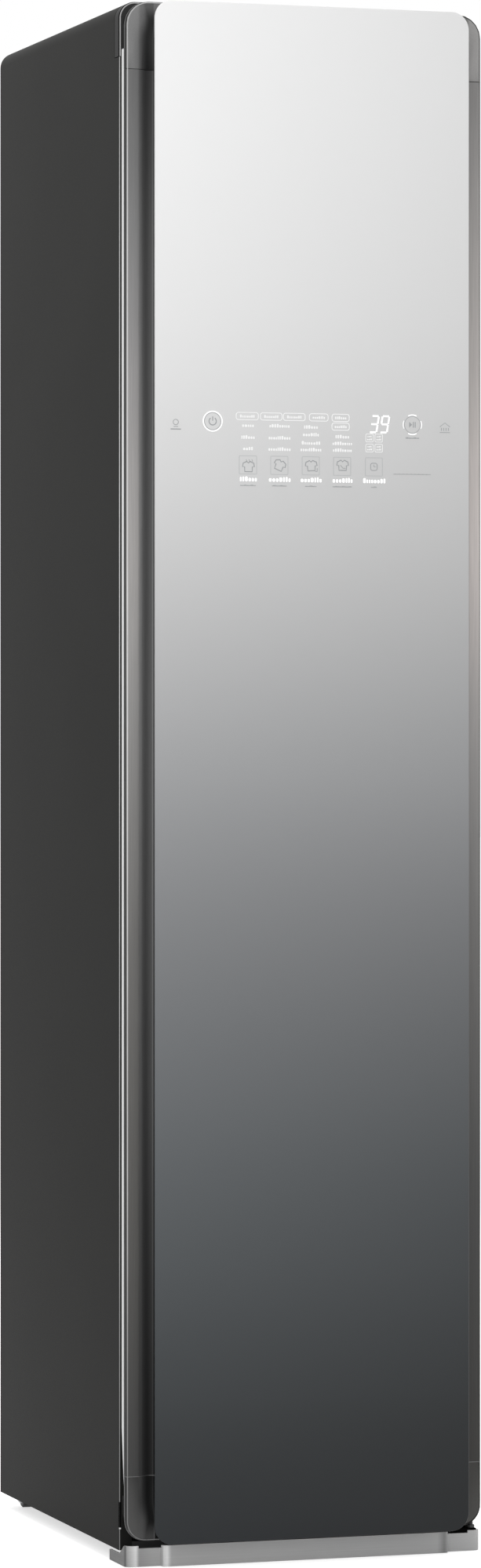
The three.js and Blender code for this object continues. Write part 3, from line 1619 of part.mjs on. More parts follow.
// The groove runs on into each cap and rises to the face of the frame before its end
function grooveCutter(startZ, endZ) {
  const direction = Math.sign(endZ - startZ);
  const runoutStart = endZ - direction * grooveRunout;
  const heights = [startZ];
  for (let i = 0; i <= grooveSteps; i += 1) {
    heights.push(runoutStart + direction * grooveRunout * i / grooveSteps);
  }
  const points = groovePoints();
  const outline = [
    [plateauWidth, frameFront - grooveRise],
    ...points,
    [webInset, frameFront - grooveRise],
  ];
  const rings = heights.map((z, n) => {
    const share = n === 0 ? 0 : (n - 1) / grooveSteps;
    const keep = (1 + Math.cos(Math.PI * share)) / 2;
    return outline.map(([inset, y]) => {
      const sunk = Math.max(0, y - frameFront) * keep;
      return [inset - halfWidth, y > frameFront ? frameFront + sunk - gap * share : y, z];
    });
  });
  return loft(rings, outline);
}

// Door end caps: a round cornered frame face, the rear flange that frames the inner panel,
// the block that carries the glass, and the ends of the two finger grooves
const capRing = 24;
const capWeld = 1;
const capGlassClear = 10;

function makeCap(name, stations, coverStations, foot, head) {
  const ringSection = [...frameEdgePoints(), [capRing, frameFront], [capRing, frameBack]];
  const ring = sweep(ringSection, stations);
  const direction = Math.sign(head - foot);
  const inner = head - direction * (capRing - capWeld);
  const fill = block(
    capRing - capWeld - halfWidth, halfWidth - capRing + capWeld,
    frameFront, frameBack,
    Math.min(foot, inner), Math.max(foot, inner),
  );
  const blockHead = head - direction * capGlassClear;
  const carrier = block(
    webInset - halfWidth, halfWidth - webInset,
    glassBack + gap, frameFront + capWeld,
    Math.min(foot, blockHead), Math.max(foot, blockHead),
  );
  const cover = sweep([
    [coverInset, frameBack - capWeld],
    [coverInset, coverBack],
    [coverInset + coverWidth, coverBack],
    [coverInset + coverWidth, frameBack - capWeld],
  ], coverStations);
  const groove = grooveCutter(foot - direction * overrun, head - direction * grooveEndClear);
  const tools = [groove, mirrored(groove)];
  if (direction > 0) {
    tools.push(block(
      hingeX - hingeArmWidth / 2 - hingeSlotClear, halfWidth + overrun,
      frameFront + hingeSkin, coverBack + overrun,
      upperArmBottom - hingeSlotClear, upperArmTop + hingeSlotClear,
    ));
    tools.push(uprightRod(
      hingeX, hingeY, hingePin + gap,
      upperArmBottom - hingePinLength - runningGap, upperArmBottom, smallSides,
    ));
  } else {
    tools.push(uprightRod(
      hingeX, hingeY, hingePin + gap,
      lowerArmTop, frameBottom + frameCorner + runningGap, smallSides,
    ));
  }
  put(name, cut(fuse(ring, fill, carrier, cover), ...tools), 0x747372, 0.4, 0.3);
}

function makeCaps() {
  makeCap(
    'door_cap_top',
    archStations(halfWidth, topCapFoot, frameTop, frameCorner),
    archStations(halfWidth, topCoverFoot, frameTop, frameCorner),
    topCapFoot, frameTop,
  );
  makeCap(
    'door_cap_bottom',
    cradleStations(halfWidth, bottomCapHead, frameBottom, frameCorner),
    cradleStations(halfWidth, bottomCoverHead, frameBottom, frameCorner),
    bottomCapHead, frameBottom,
  );
}

// Inner panel: a moulded sheet with a raised field that reaches into the cabin
const fieldSide = 17.5;
const fieldLift = 67.5;
const fieldDrop = 22.5;
const fieldHalf = cabinHalf - fieldSide;
const fieldBottom = cabinFloor + fieldLift;
const fieldTop = cabinCeiling - fieldDrop;
const fieldCorner = 24;
const fieldTaper = 8;

function makeInnerPanel() {
  const wide = halfWidth - coverInset;
  const slim = wide - coverWidth - gap;
  const low = frameBottom + coverInset + coverWidth + gap;
  const high = frameTop - coverInset - coverWidth - gap;
  const corner = frameCorner - coverInset - coverWidth - gap;
  const tall = facing(shapeOf(roundedRectangle(-slim, slim, low, high, corner)), panelFront, panelBack);
  const broad = block(-wide, wide, panelFront, panelBack, bottomCoverHead + gap, topCoverFoot - gap);
  const rings = [[0, panelBack - capWeld], [fieldTaper, fieldBack - fieldTaper], [fieldTaper * 2, fieldBack]]
    .map(([inset, y]) => ringStations(fieldHalf, fieldBottom, fieldTop, fieldCorner)
      .map(({ x, z, nx, nz }) => [x - nx * inset, y, z - nz * inset]));
  const outline = ringStations(fieldHalf, fieldBottom, fieldTop, fieldCorner).map(({ x, z }) => [x, z]);
  put('door_inner_panel', fuse(tall, broad, loft(rings, outline)), 0xe4e4e2, 0.45, 0);
}

// Magnetic gasket all round the inner panel
const gasketWidth = 12;
const gasketCorner = 16;
const gasketWaist = 3;

function makeGasket() {
  const half = halfWidth - coverInset - coverWidth - gap * 2;
  const low = frameBottom + coverInset + coverWidth + gap * 2;
  const high = frameTop - coverInset - coverWidth - gap * 2;
  const front = panelBack + gap;
  const back = bezelFront - gap;
  const section = [
    [0, front],
    [gasketWaist, (front + back) / 2],
    [0, back - gasketWaist],
    [0, back],
    [gasketWidth, back],
    [gasketWidth, back - gasketWaist],
    [gasketWidth - gasketWaist, (front + back) / 2],
    [gasketWidth, front],
  ];
  put('door_gasket', sweep(section, ringStations(half, low, high, gasketCorner), true), 0x8b8b8b, 0.8, 0);
}

// Display module behind the glass and the insulation round it
const displaySide = 20.7;
const displayDrop = 476;
const displayHeight = 96;
const displayHalf = glassWidth / 2 - displaySide;
const displayTop = height - displayDrop;
const displayBottom = displayTop - displayHeight;
const displayDepth = 8;
const displayRim = 3;
const displayRibs = 6;

function makeDoorCore() {
  const front = glassBack + gap;
  const tray = cut(
    block(-displayHalf, displayHalf, front, front + displayDepth, displayBottom, displayTop),
    block(
      displayRim - displayHalf, displayHalf - displayRim,
      front - overrun, front + displayDepth - displayRim,
      displayBottom + displayRim, displayTop - displayRim,
    ),
  );
  const ribs = [];
  for (let rib = 1; rib < displayRibs; rib += 1) {
    const x = displayHalf * (rib * 2 / displayRibs - 1);
    ribs.push(block(
      x - displayRim / 2, x + displayRim / 2, front, front + displayDepth - displayRim / 2,
      displayBottom + displayRim / 2, displayTop - displayRim / 2,
    ));
  }
  put('display_module', fuse(tray, ...ribs), 0x2b2f33, 0.5, 0);
  const half = halfWidth - webInset - webThickness - gap;
  put('door_insulation', cut(
    block(-half, half, front, frameBack, bottomCapHead + gap, topCapFoot - gap),
    block(
      -half - overrun, half + overrun, front - overrun, front + displayDepth + gap,
      displayBottom - gap, displayTop + gap,
    ),
  ), 0xe9dcb8, 0.9, 0);
}

// Trouser press: a padded board on the door and a plate that opens like a page
const pressSide = 30;
const pressLift = 160;
const pressBottom = fieldBottom + pressLift;
const pressDrop = 235;
const pressHalf = fieldHalf - pressSide;
const pressTop = fieldTop - pressDrop;
const pressCorner = 20;
const boardThick = 8;
const plateThick = 9;
const pressPinClear = 12;
const pressPinX = pressHalf + pressPinClear;
const pressPin = 3;
const knuckleRadius = 6;
const knuckleHeight = 60;
const knuckleEnd = 40;
const pressGrip = 80;
const pressGripReach = 12;
const plateRibs = 3;
const plateRibDepth = 2;

function knuckle(z, innerX, y0, y1, pinY) {
  const barrel = uprightRod(pressPinX, pinY, knuckleRadius, z, z + knuckleHeight, smallSides);
  const leaf = block(innerX, pressPinX, y0, y1, z, z + knuckleHeight);
  return fuse(barrel, leaf);
}

function makePress() {
  const boardFront = fieldBack + gap;
  const boardBack = boardFront + boardThick;
  const pinY = boardBack + gap;
  const plateFront = boardBack + gap * 2;
  const plateBack = plateFront + plateThick;
  const pageOutline = roundedRectangle(-pressHalf, pressHalf, pressBottom, pressTop, pressCorner);
  const pageCentre = (pressBottom + pressTop) / 2;
  const leafX = pressHalf - pressCorner / 2;
  const bore = uprightRod(
    pressPinX, pinY, pressPin + gap, pressBottom - overrun, pressTop + overrun, smallSides,
  );
  const boardKnuckles = [pressBottom + knuckleEnd, pressTop - knuckleEnd - knuckleHeight]
    .map((z) => knuckle(z, leafX, boardFront, boardBack, pinY));
  put('press_board', cut(
    fuse(facing(shapeOf(pageOutline), boardFront, boardBack), ...boardKnuckles), bore,
  ), 0xb9b6ad, 0.9, 0);
  const plateKnuckles = [
    pressBottom + knuckleEnd + knuckleHeight + runningGap,
    pressTop - knuckleEnd - knuckleHeight * 2 - runningGap,
  ].map((z) => knuckle(z, leafX, plateFront, plateBack - plateRibDepth, pinY));
  const grip = block(
    -pressHalf - pressGripReach, capWeld - pressHalf,
    plateFront + plateRibDepth, plateBack - plateRibDepth,
    pageCentre - pressGrip / 2, pageCentre + pressGrip / 2,
  );
  const flutes = [];
  for (let rib = 0; rib < plateRibs; rib += 1) {
    const pitch = pressHalf * 2 / plateRibs;
    const x = pitch * (rib + 1 / 2) - pressHalf;
    flutes.push(facing(shapeOf(roundedRectangle(
      x - pitch / 3, x + pitch / 3,
      pressBottom + pressCorner * 2, pressTop - pressCorner * 2,
      pressCorner, bendSteps,
    )), plateBack - plateRibDepth, plateBack + overrun));
  }
  put('press_plate', cut(
    fuse(facing(shapeOf(pageOutline), plateFront, plateBack), ...plateKnuckles, grip), bore, ...flutes,
  ), 0xd2d2d0, 0.45, 0);
  const pinFoot = pressBottom + knuckleEnd;
  const pinHead = pressTop - knuckleEnd;
  put('press_hinge_pin', fuse(
    uprightRod(pressPinX, pinY, pressPin, pinFoot - gap * 2, pinHead + gap * 2, smallSides),
    uprightRod(pressPinX, pinY, knuckleRadius, pinHead + gap, pinHead + gap + pressPin, smallSides),
  ), 0xb0b0b0, 0.3, 0.9);
}

makeOuterCase();
makeTopTrim();
makeBackPanel();
makeGland();
makeBasePan();
makeFeet();
makeRollers();
makeSkirt();
makeBezel();
makeCabinLiner();
makeGrilles();
makeNozzle();
makeShelf();
makeLintFilter();
makeHangerBar();
makeBarGuides();
makeHangerDrive();
for (let n = 0; n < hangerCount; n += 1) {
  makeHanger(`hanger_${n + 1}`, (n - (hangerCount - 1) / 2) * hangerPitch);
}
makeLampLens();
makeTankBay();
makeTank('supply_tank', 'supply_tank_cap', 1, 0xc8d4da);
makeTank('drain_tank', 'drain_tank_cap', -1, 0xb4b8ba);
makeCoil('evaporator', coilFront, 0xb7bbbd);
makeCoil('condenser', coilFront + coilDepth + coilSpace, 0xb08a6a);
makeBlower();
makeAirDuct();
makeCompressor();
makeSteamGenerator();
makeControlBox();
makeHingeBrackets();
makeGlass();
makeStiles();
makeCaps();
makeInnerPanel();
makeGasket();
makeDoorCore();
makePress();

export default cabinet;
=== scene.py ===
# Clothes care steam cabinet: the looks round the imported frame, in metres
import json
import math

import bmesh
import bpy
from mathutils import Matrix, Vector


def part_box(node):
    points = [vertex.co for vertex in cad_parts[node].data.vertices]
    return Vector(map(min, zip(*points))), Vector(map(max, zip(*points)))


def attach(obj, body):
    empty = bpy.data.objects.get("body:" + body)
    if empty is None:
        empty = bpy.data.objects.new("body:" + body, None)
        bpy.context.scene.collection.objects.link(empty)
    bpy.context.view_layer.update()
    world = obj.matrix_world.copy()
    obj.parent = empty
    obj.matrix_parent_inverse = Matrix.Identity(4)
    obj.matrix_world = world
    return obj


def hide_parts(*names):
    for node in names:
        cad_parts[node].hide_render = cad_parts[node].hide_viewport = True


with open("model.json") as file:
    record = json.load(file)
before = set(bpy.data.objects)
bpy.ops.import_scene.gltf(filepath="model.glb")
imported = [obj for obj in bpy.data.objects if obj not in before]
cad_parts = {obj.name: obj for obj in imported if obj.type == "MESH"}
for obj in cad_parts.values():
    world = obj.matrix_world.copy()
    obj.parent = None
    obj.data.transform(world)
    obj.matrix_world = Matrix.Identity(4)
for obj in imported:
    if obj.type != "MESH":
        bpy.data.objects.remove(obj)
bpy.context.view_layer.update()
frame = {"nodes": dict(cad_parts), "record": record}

MM = 0.001
QUARTER = math.pi / 2
WELD = 0.02 * MM
FLAT_ANGLE = math.radians(1.5)
SMOOTH_ANGLE = math.radians(32)
BEVEL_ANGLE = math.radians(40)
CORNER_STEPS = 14
SIDES = ((-1, "left"), (1, "right"))
WHITE = (1, 1, 1, 1)


# Sets several settings of one thing
def configure(thing, **settings):
    for key, value in settings.items():
        setattr(thing, key, value)
    return thing


# Puts data into the scene as an object
def placed(name, data):
    thing = bpy.data.objects.new(name, data)
    bpy.context.scene.collection.objects.link(thing)
    return thing


# Places read from the frame
def low(node):
    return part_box(node)[0]


def high(node):
    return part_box(node)[1]


def middle(node):
    return [(a + b) / 2 for a, b in zip(*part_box(node))]


HALF_WIDTH = high("outer_case").x
TOP = high("outer_case").z
BACK_Y = high("outer_case").y
CASE_FRONT = low("top_front_trim").y
CASE_FOOT = low("outer_case").z
TRIM_FOOT = low("top_front_trim").z
TRIM_BACK = high("top_front_trim").y
FRONT = low("door_glass").y
GLASS_BACK = high("door_glass").y
FRAME_BACK = high("door_stile_left").y
STILE_FOOT = low("door_stile_left").z
STILE_HEAD = high("door_stile_left").z
FRAME_FOOT = low("door_cap_bottom").z
FRAME_HEAD = high("door_cap_top").z

# Glass outline, fitted a little round the solid's
GLASS_INSET = 0.5 * MM
GLASS_FOOT_DROP = 1.4 * MM
GLASS_HEAD_RISE = 0.9 * MM
GLASS_CORNER = 21.5 * MM
GLASS_BEVEL = 0.8 * MM
GLASS_HALF = high("door_glass").x - GLASS_INSET
GLASS_FOOT = low("door_glass").z - GLASS_FOOT_DROP
GLASS_HEAD = high("door_glass").z + GLASS_HEAD_RISE

# Case and trim: folded sheets
CASE_CORNER = 20 * MM
CASE_BEND = 2.5 * MM
SHEET = 1.2 * MM
TRIM_SHEET = 2.5 * MM
TRIM_BEND = 3 * MM
TRIM_GAP = 0.9 * MM
TRIM_EDGE = 0.25 * MM
FLANGE = 15.7 * MM

# Door frame: round edge with a painted highlight, flat face, then a groove that falls and rises to the glass
FRAME_SETBACK = 30 * MM
FRAME_FRONT = FRONT + FRAME_SETBACK
FRAME_EDGE = 3 * MM
PLATEAU = 14.5 * MM
GROOVE_FALL = 15 * MM
GROOVE_DEPTH = 8 * MM
GROOVE_RISE = 9 * MM
WEB = 4 * MM
WEB_GAP = 0.3 * MM
CAP_CORNER = 28 * MM

# Thin lines laid on a surface: how far they stand out of it and reach into it
LINE_LIFT = 0.06 * MM
LINE_SINK = 0.5 * MM


# The nodes of a material or of the world, with short ways to add to them
class Nodes:
    def __init__(self, holder, shader):
        holder.use_nodes = True
        self.holder = holder
        self.tree = holder.node_tree
        self.shader = self.tree.nodes[shader]

    # Gives each socket its value, or a link where the value is another node's output
    def fill(self, sockets, values):
        for key, value in values.items():
            if isinstance(value, bpy.types.NodeSocket):
                self.tree.links.new(value, sockets[key])
            else:
                sockets[key].default_value = value

    # Sets the shader's own inputs and gives the finished material or world back
    def shade(self, values):
        self.fill(self.shader.inputs, values)
        return self.holder

    def add(self, kind, inputs=None, **settings):
        node = configure(self.tree.nodes.new(kind), **settings)
        self.fill(node.inputs, inputs or {})
        return node

    def worked(self, operation, *values):
        return self.add("ShaderNodeMath", dict(enumerate(values)), operation=operation).outputs[0]

    def mixed(self, factor, first, second, blend="MIX"):
        inputs = {0: factor, 6: first, 7: second}
        return self.add("ShaderNodeMix", inputs, data_type="RGBA", blend_type=blend).outputs[2]

    # A colour made lighter or darker by a number or by a node's value
    def scaled(self, colour, gain):
        grey = self.add("ShaderNodeCombineColor", {"Red": gain, "Green": gain, "Blue": gain})
        return self.mixed(1.0, colour, grey.outputs["Color"], "MULTIPLY")

    def noise(self, scale, detail=3.0, stretch=(1, 1, 1)):
        mapping = self.add("ShaderNodeMapping", {"Vector": self.place, "Scale": stretch})
        inputs = {"Vector": mapping.outputs["Vector"], "Scale": scale, "Detail": detail}
        return self.add("ShaderNodeTexNoise", inputs).outputs["Fac"]

    def spread(self, value, low_out, high_out, low_in=0.3, high_in=0.7):
        return self.add("ShaderNodeMapRange", {
            "Value": value, "From Min": low_in, "From Max": high_in, "To Min": low_out, "To Max": high_out,
        }).outputs["Result"]

    # A middle value that a texture takes a little down and up
    def around(self, texture, middle, less, more):
        return self.spread(texture, middle - less, middle + more)

    # Share that rises softly from 0 at the start to the most at the end
    def eased(self, value, start, end, most=1.0):
        return self.add("ShaderNodeMapRange", {
            "Value": value, "From Min": start, "From Max": end, "To Max": most,
        }, interpolation_type="SMOOTHSTEP").outputs["Result"]

    def bump(self, height, distance, strength=1.0):
        node = self.add("ShaderNodeBump", {"Height": height, "Distance": distance, "Strength": strength})
        self.shade({"Normal": node.outputs["Normal"]})

    def axis(self, axis):
        return self.add("ShaderNodeSeparateXYZ", {"Vector": self.place}).outputs[axis]

    # Tones along an axis. A stop is a place in millimetres and the tone there
    def ramp(self, axis, stops, interpolation="B_SPLINE"):
        first, last = stops[0][0], stops[-1][0]
        share = self.spread(self.axis(axis), 0.0, 1.0, first * MM, last * MM)
        node = self.add("ShaderNodeValToRGB", {"Fac": share})
        node.color_ramp.interpolation = interpolation
        elements = node.color_ramp.elements
        while len(elements) < len(stops):
            elements.new(0.5)
        for element, (place, *shade) in zip(elements, stops):
            element.position = (place - first) / (last - first)
            element.color = tone(*shade)
        return node.outputs["Color"]

    # 1 for the camera, for mirror images and through clear parts, else 0
    def seen_directly(self):
        path = self.add("ShaderNodeLightPath").outputs
        first = self.worked("MAXIMUM", path["Is Camera Ray"], path["Is Glossy Ray"])
        return self.worked("MAXIMUM", first, path["Is Transmission Ray"])


def start_finish(name):
    nodes = Nodes(bpy.data.materials.new(name), "Principled BSDF")
    nodes.place = nodes.add("ShaderNodeTexCoord").outputs["Object"]
    return nodes


# A grey or coloured tone as it shows on a screen, from 0 to 255, as scene light
def tone(red, green=None, blue=None):
    shares = [value / 255 for value in (red, green or red, blue or red)]
    return tuple(s / 12.92 if s <= 0.04045 else ((s + 0.055) / 1.055) ** 2.4 for s in shares) + (1.0,)


def darker(colour, share):
    return tuple(c * share for c in colour[:3]) + (1.0,)


# Finishes, one function for each kind
def satin_paint(name, colour, roughness=0.42, grain=1400.0, mottle=0.05, depth=0.012, gloss=0.5, stops=None):
    nodes = start_finish(name)
    cloud = nodes.noise(scale=5.0, detail=2.0)
    fine = nodes.noise(scale=grain, detail=2.0)
    base = nodes.ramp("Z", stops) if stops else colour
    nodes.bump(fine, depth * MM)
    return nodes.shade({
        "Base Color": nodes.scaled(base, nodes.around(cloud, 1, mottle, mottle)),
        "Roughness": nodes.around(fine, roughness, less=0.05, more=0.07),
        "Specular IOR Level": gloss,
    })


def moulded_plastic(name, colour, roughness=0.5):
    return satin_paint(name, colour, roughness, grain=900.0, mottle=0.03, depth=0.02, gloss=0.35)


def soft_rubber(name, colour, roughness=0.7):
    return satin_paint(name, colour, roughness, grain=500.0, mottle=0.06, depth=0.03)


def brushed_metal(name, colour, roughness=0.32, stretch=(1, 1, 0.02), scale=900.0, metallic=1.0, stops=None):
    nodes = start_finish(name)
    lines = nodes.noise(scale, detail=4.0, stretch=stretch)
    base = nodes.ramp("Z", stops) if stops else colour
    nodes.bump(lines, distance=0.01 * MM, strength=0.4)
    return nodes.shade({
        "Base Color": nodes.scaled(base, nodes.around(lines, 1, less=0.1, more=0.06)),
        "Roughness": nodes.around(lines, roughness, less=0.05, more=0.1),
        "Metallic": metallic,
    })


def polished_metal(name, colour, roughness=0.14):
    nodes = start_finish(name)
    smear = nodes.noise(scale=40.0, detail=4.0)
    return nodes.shade({
        "Base Color": nodes.mixed(smear, colour, darker(colour, share=0.9)),
        "Roughness": nodes.around(smear, roughness, less=0.04, more=0.08),
        "Metallic": 1.0,
    })


def clear_plastic(name, colour, roughness=0.12, clear_share=0.6):
    nodes = start_finish(name)
    haze = nodes.noise(scale=30.0, detail=3.0)
    return nodes.shade({
        "Base Color": colour,
        "Roughness": nodes.around(haze, roughness, less=0.04, more=0.1),
        "Transmission Weight": clear_share,
        "IOR": 1.45,
    })


def lacquered_wood(name, colour):
    nodes = start_finish(name)
    rings = nodes.noise(scale=60.0, detail=6.0, stretch=(1.0, 0.08, 1.0))
    nodes.bump(rings, distance=0.05 * MM, strength=0.5)
    return nodes.shade({
        "Base Color": nodes.mixed(nodes.spread(rings, 0.0, 1.0), darker(colour, share=0.55), colour),
        "Roughness": nodes.spread(rings, 0.28, 0.42),
        "Coat Weight": 0.4,
    })


# Woven cover: threads both ways with slubs and a soft sheen
def woven_fabric(name, colour, pitch=1.1):
    nodes = start_finish(name)
    turns = 2 * math.pi / (pitch * MM)
    across, upward = [
        nodes.worked("SINE", nodes.worked("MULTIPLY", nodes.axis(axis), turns)) for axis in ("X", "Z")
    ]
    slub = nodes.noise(scale=300.0, detail=3.0, stretch=(1, 1, 0.2))
    height = nodes.worked("ADD", nodes.worked("MULTIPLY", across, upward), slub)
    share = nodes.spread(height, 0.0, 1.0, low_in=-0.6, high_in=1.4)
    nodes.bump(height, distance=0.12 * MM, strength=0.6)
    return nodes.shade({
        "Base Color": nodes.mixed(share, darker(colour, share=0.7), colour),
        "Roughness": 0.85,
        "Sheen Weight": 0.3,
    })


def lit_sign(name, colour, glow):
    nodes = start_finish(name)
    flicker = nodes.noise(scale=200.0, detail=2.0)
    return nodes.shade({
        "Base Color": nodes.mixed(flicker, darker(colour, share=0.94), colour),
        "Roughness": 0.35,
        "Emission Color": colour,
        "Emission Strength": glow,
    })


# Mirror glass with a painted reflection: pale above, charcoal below, and painted shade darker to the right,
# most of all near its foot
GLASS_STOPS = [
    (20, 37, 40, 43), (200, 47, 51, 53), (470, 95, 99, 102), (700, 121, 123, 125),
    (930, 156, 157, 159), (1200, 210), (1480, 237), (1850, 251),
]
LOSS_FOOT, LOSS_HEAD = 20 * MM, 900 * MM
FOOT_LOSS_SHARE, HEAD_LOSS_SHARE = 0.46, 0.175


def painted_reflection_mirror(name):
    nodes = start_finish(name)
    # The painted shade takes a share of the tone off across the glass, the largest share near its foot
    across = nodes.spread(nodes.axis("X"), 0.0, 1.0, -GLASS_HALF, GLASS_HALF)
    loss = nodes.spread(nodes.axis("Z"), FOOT_LOSS_SHARE, HEAD_LOSS_SHARE, LOSS_FOOT, LOSS_HEAD)
    kept = nodes.worked("SUBTRACT", 1.0, nodes.worked("MULTIPLY", across, loss))
    smear = nodes.noise(scale=3.0, detail=3.0)
    return nodes.shade({
        # Base colour: the painted reflection up the height, times the painted shade
        "Base Color": nodes.scaled(nodes.ramp("Z", GLASS_STOPS), kept),
        "Roughness": nodes.spread(smear, 0.03, 0.07),
        "Specular IOR Level": 0.2,
    })


# Painted reflection as tones up the height, most of them brightest a little over the middle. The frame's face
# has its own tones on the left and on the right
LEFT_STOPS = [
    (110, 72), (370, 94, 93, 91), (740, 118, 117, 115), (1020, 159, 158, 157),
    (1200, 184, 181, 179), (1390, 168, 166, 166), (1570, 143), (1760, 116),
]
RIGHT_STOPS = [
    (120, 66, 65, 63), (450, 84), (640, 106, 105, 104), (830, 128, 127, 126),
    (1020, 162, 160, 159), (1200, 214, 206, 203), (1390, 198, 193, 190), (1770, 126),
]
# Painted shade on the slope into the finger groove and on the groove's bottom
SLOPE_STOPS = [(110, 84), (460, 118), (740, 138), (1110, 178), (1390, 166), (1570, 145), (1760, 108)]
GROOVE_STOPS = [(110, 42), (280, 54), (550, 84), (1020, 114), (1570, 98), (1760, 64)]
# Painted highlights along the frame's outer edge and along the case's front fold
EDGE_STOPS = [
    (33, 112), (250, 138), (420, 190), (740, 207), (1016, 228), (1386, 202), (1570, 222), (1790, 174),
]
FOLD_STOPS = [(20, 105), (250, 140), (462, 160), (832, 178), (1200, 220), (1700, 165), (1850, 165)]
# Painted shade on the case: darker towards the bottom
CASE_STOPS = [(60, 34, 34, 33), (600, 38, 38, 37), (1100, 42, 42, 41), (1500, 46, 46, 45), (1820, 50, 50, 49)]

# Where the frame's painted light changes, out from the middle of the door and near its ends: the slope into
# the groove, the painted highlight line, the painted shadow beside the glass and the fade near the caps
SLOPE_START = 209.0 * MM
SLOPE_MIDDLE = 203.5 * MM
SLOPE_END = 193.5 * MM
HAIRLINE_OUTER = 188.7 * MM
HAIRLINE_INNER = 187.4 * MM
HAIRLINE_SOFT = 0.3 * MM
HAIRLINE_GAIN = 1.6
HAIRLINE_HEAD = GLASS_HEAD - 22 * MM
HAIRLINE_END = GLASS_HEAD - 16 * MM
CAP_FADE = 24 * MM
CAP_RUN_SHARE = 0.6
METAL_SHARE = 0.35


# Satin frame with painted light: painted reflection tones follow the flat face, the slope and the bottom of
# the finger groove, with painted shade in the groove, a painted highlight line and a painted shadow beside
# the glass
def frame_finish(name, roughness, stretch, face_gain=1.0, groove_gain=1.0):
    nodes = start_finish(name)
    wide = nodes.worked("ABSOLUTE", nodes.axis("X"))
    height = nodes.axis("Z")
    right = nodes.worked("GREATER_THAN", nodes.axis("X"), 0.0)
    # Painted reflection on the flat face, with its own tones on the left and on the right side
    face = nodes.mixed(right, nodes.ramp("Z", LEFT_STOPS), nodes.ramp("Z", RIGHT_STOPS))
    on_face = nodes.eased(wide, SLOPE_MIDDLE, SLOPE_START)
    above = nodes.mixed(on_face, nodes.ramp("Z", SLOPE_STOPS), nodes.scaled(face, face_gain))
    # Near the caps the groove's painted shade fades partly into the tones above it
    near_foot = nodes.eased(height, FRAME_FOOT + CAP_FADE, FRAME_FOOT, CAP_RUN_SHARE)
    near_head = nodes.eased(height, FRAME_HEAD - CAP_FADE, FRAME_HEAD, CAP_RUN_SHARE)
    near_end = nodes.worked("MAXIMUM", near_foot, near_head)
    out_of_groove = nodes.worked("MAXIMUM", nodes.eased(wide, SLOPE_END, SLOPE_MIDDLE), near_end)
    # Painted shade in the groove's bottom
    groove = nodes.scaled(nodes.ramp("Z", GROOVE_STOPS), groove_gain)
    base = nodes.mixed(out_of_groove, groove, above)
    # A painted highlight line next to the glass, and inside it painted shadow except near the glass's head
    past_line = nodes.eased(wide, HAIRLINE_OUTER, HAIRLINE_OUTER + HAIRLINE_SOFT)
    base = nodes.mixed(past_line, nodes.scaled(base, HAIRLINE_GAIN), base)
    past_gap = nodes.eased(wide, HAIRLINE_INNER - HAIRLINE_SOFT, HAIRLINE_INNER)
    past_head = nodes.eased(height, HAIRLINE_HEAD, HAIRLINE_END)
    base = nodes.mixed(nodes.worked("MAXIMUM", past_gap, past_head), tone(14), base)
    lines = nodes.noise(scale=900.0, detail=4.0, stretch=stretch)
    nodes.bump(lines, distance=0.006 * MM, strength=0.3)
    return nodes.shade({
        "Base Color": nodes.scaled(base, nodes.around(lines, 1, less=0.07, more=0.05)),
        "Roughness": nodes.around(lines, roughness, less=0.04, more=0.08),
        "Metallic": nodes.worked("MULTIPLY", on_face, METAL_SHARE),
        "Specular IOR Level": 0.05,
    })


# Brushed skirt with painted highlights on its bends, bright on the left and darker on the right, and painted
# shade darker towards its bottom
SKIRT_STOPS = [
    (-222, 145), (-210, 225), (-206, 150), (-182, 175), (-174, 235),
    (-169, 175), (165, 170), (174, 130), (181, 175), (222, 175),
]
SKIRT_HEIGHT = 25 * MM


def skirt_finish(name):
    nodes = start_finish(name)
    # Painted shade: darker towards the bottom
    height = nodes.spread(nodes.axis("Z"), 0.88, 1.05, 0.0, SKIRT_HEIGHT)
    lines = nodes.noise(scale=500.0, detail=4.0, stretch=(0.02, 1, 1))
    gain = nodes.worked("MULTIPLY", nodes.around(lines, 1, less=0.05, more=0.04), height)
    nodes.bump(lines, distance=0.01 * MM, strength=0.3)
    return nodes.shade({
        "Base Color": nodes.scaled(nodes.ramp("X", SKIRT_STOPS, "LINEAR"), gain),
        "Roughness": nodes.spread(lines, 0.34, 0.46),
        "Metallic": 0.3,
        "Specular IOR Level": 0.1,
    })


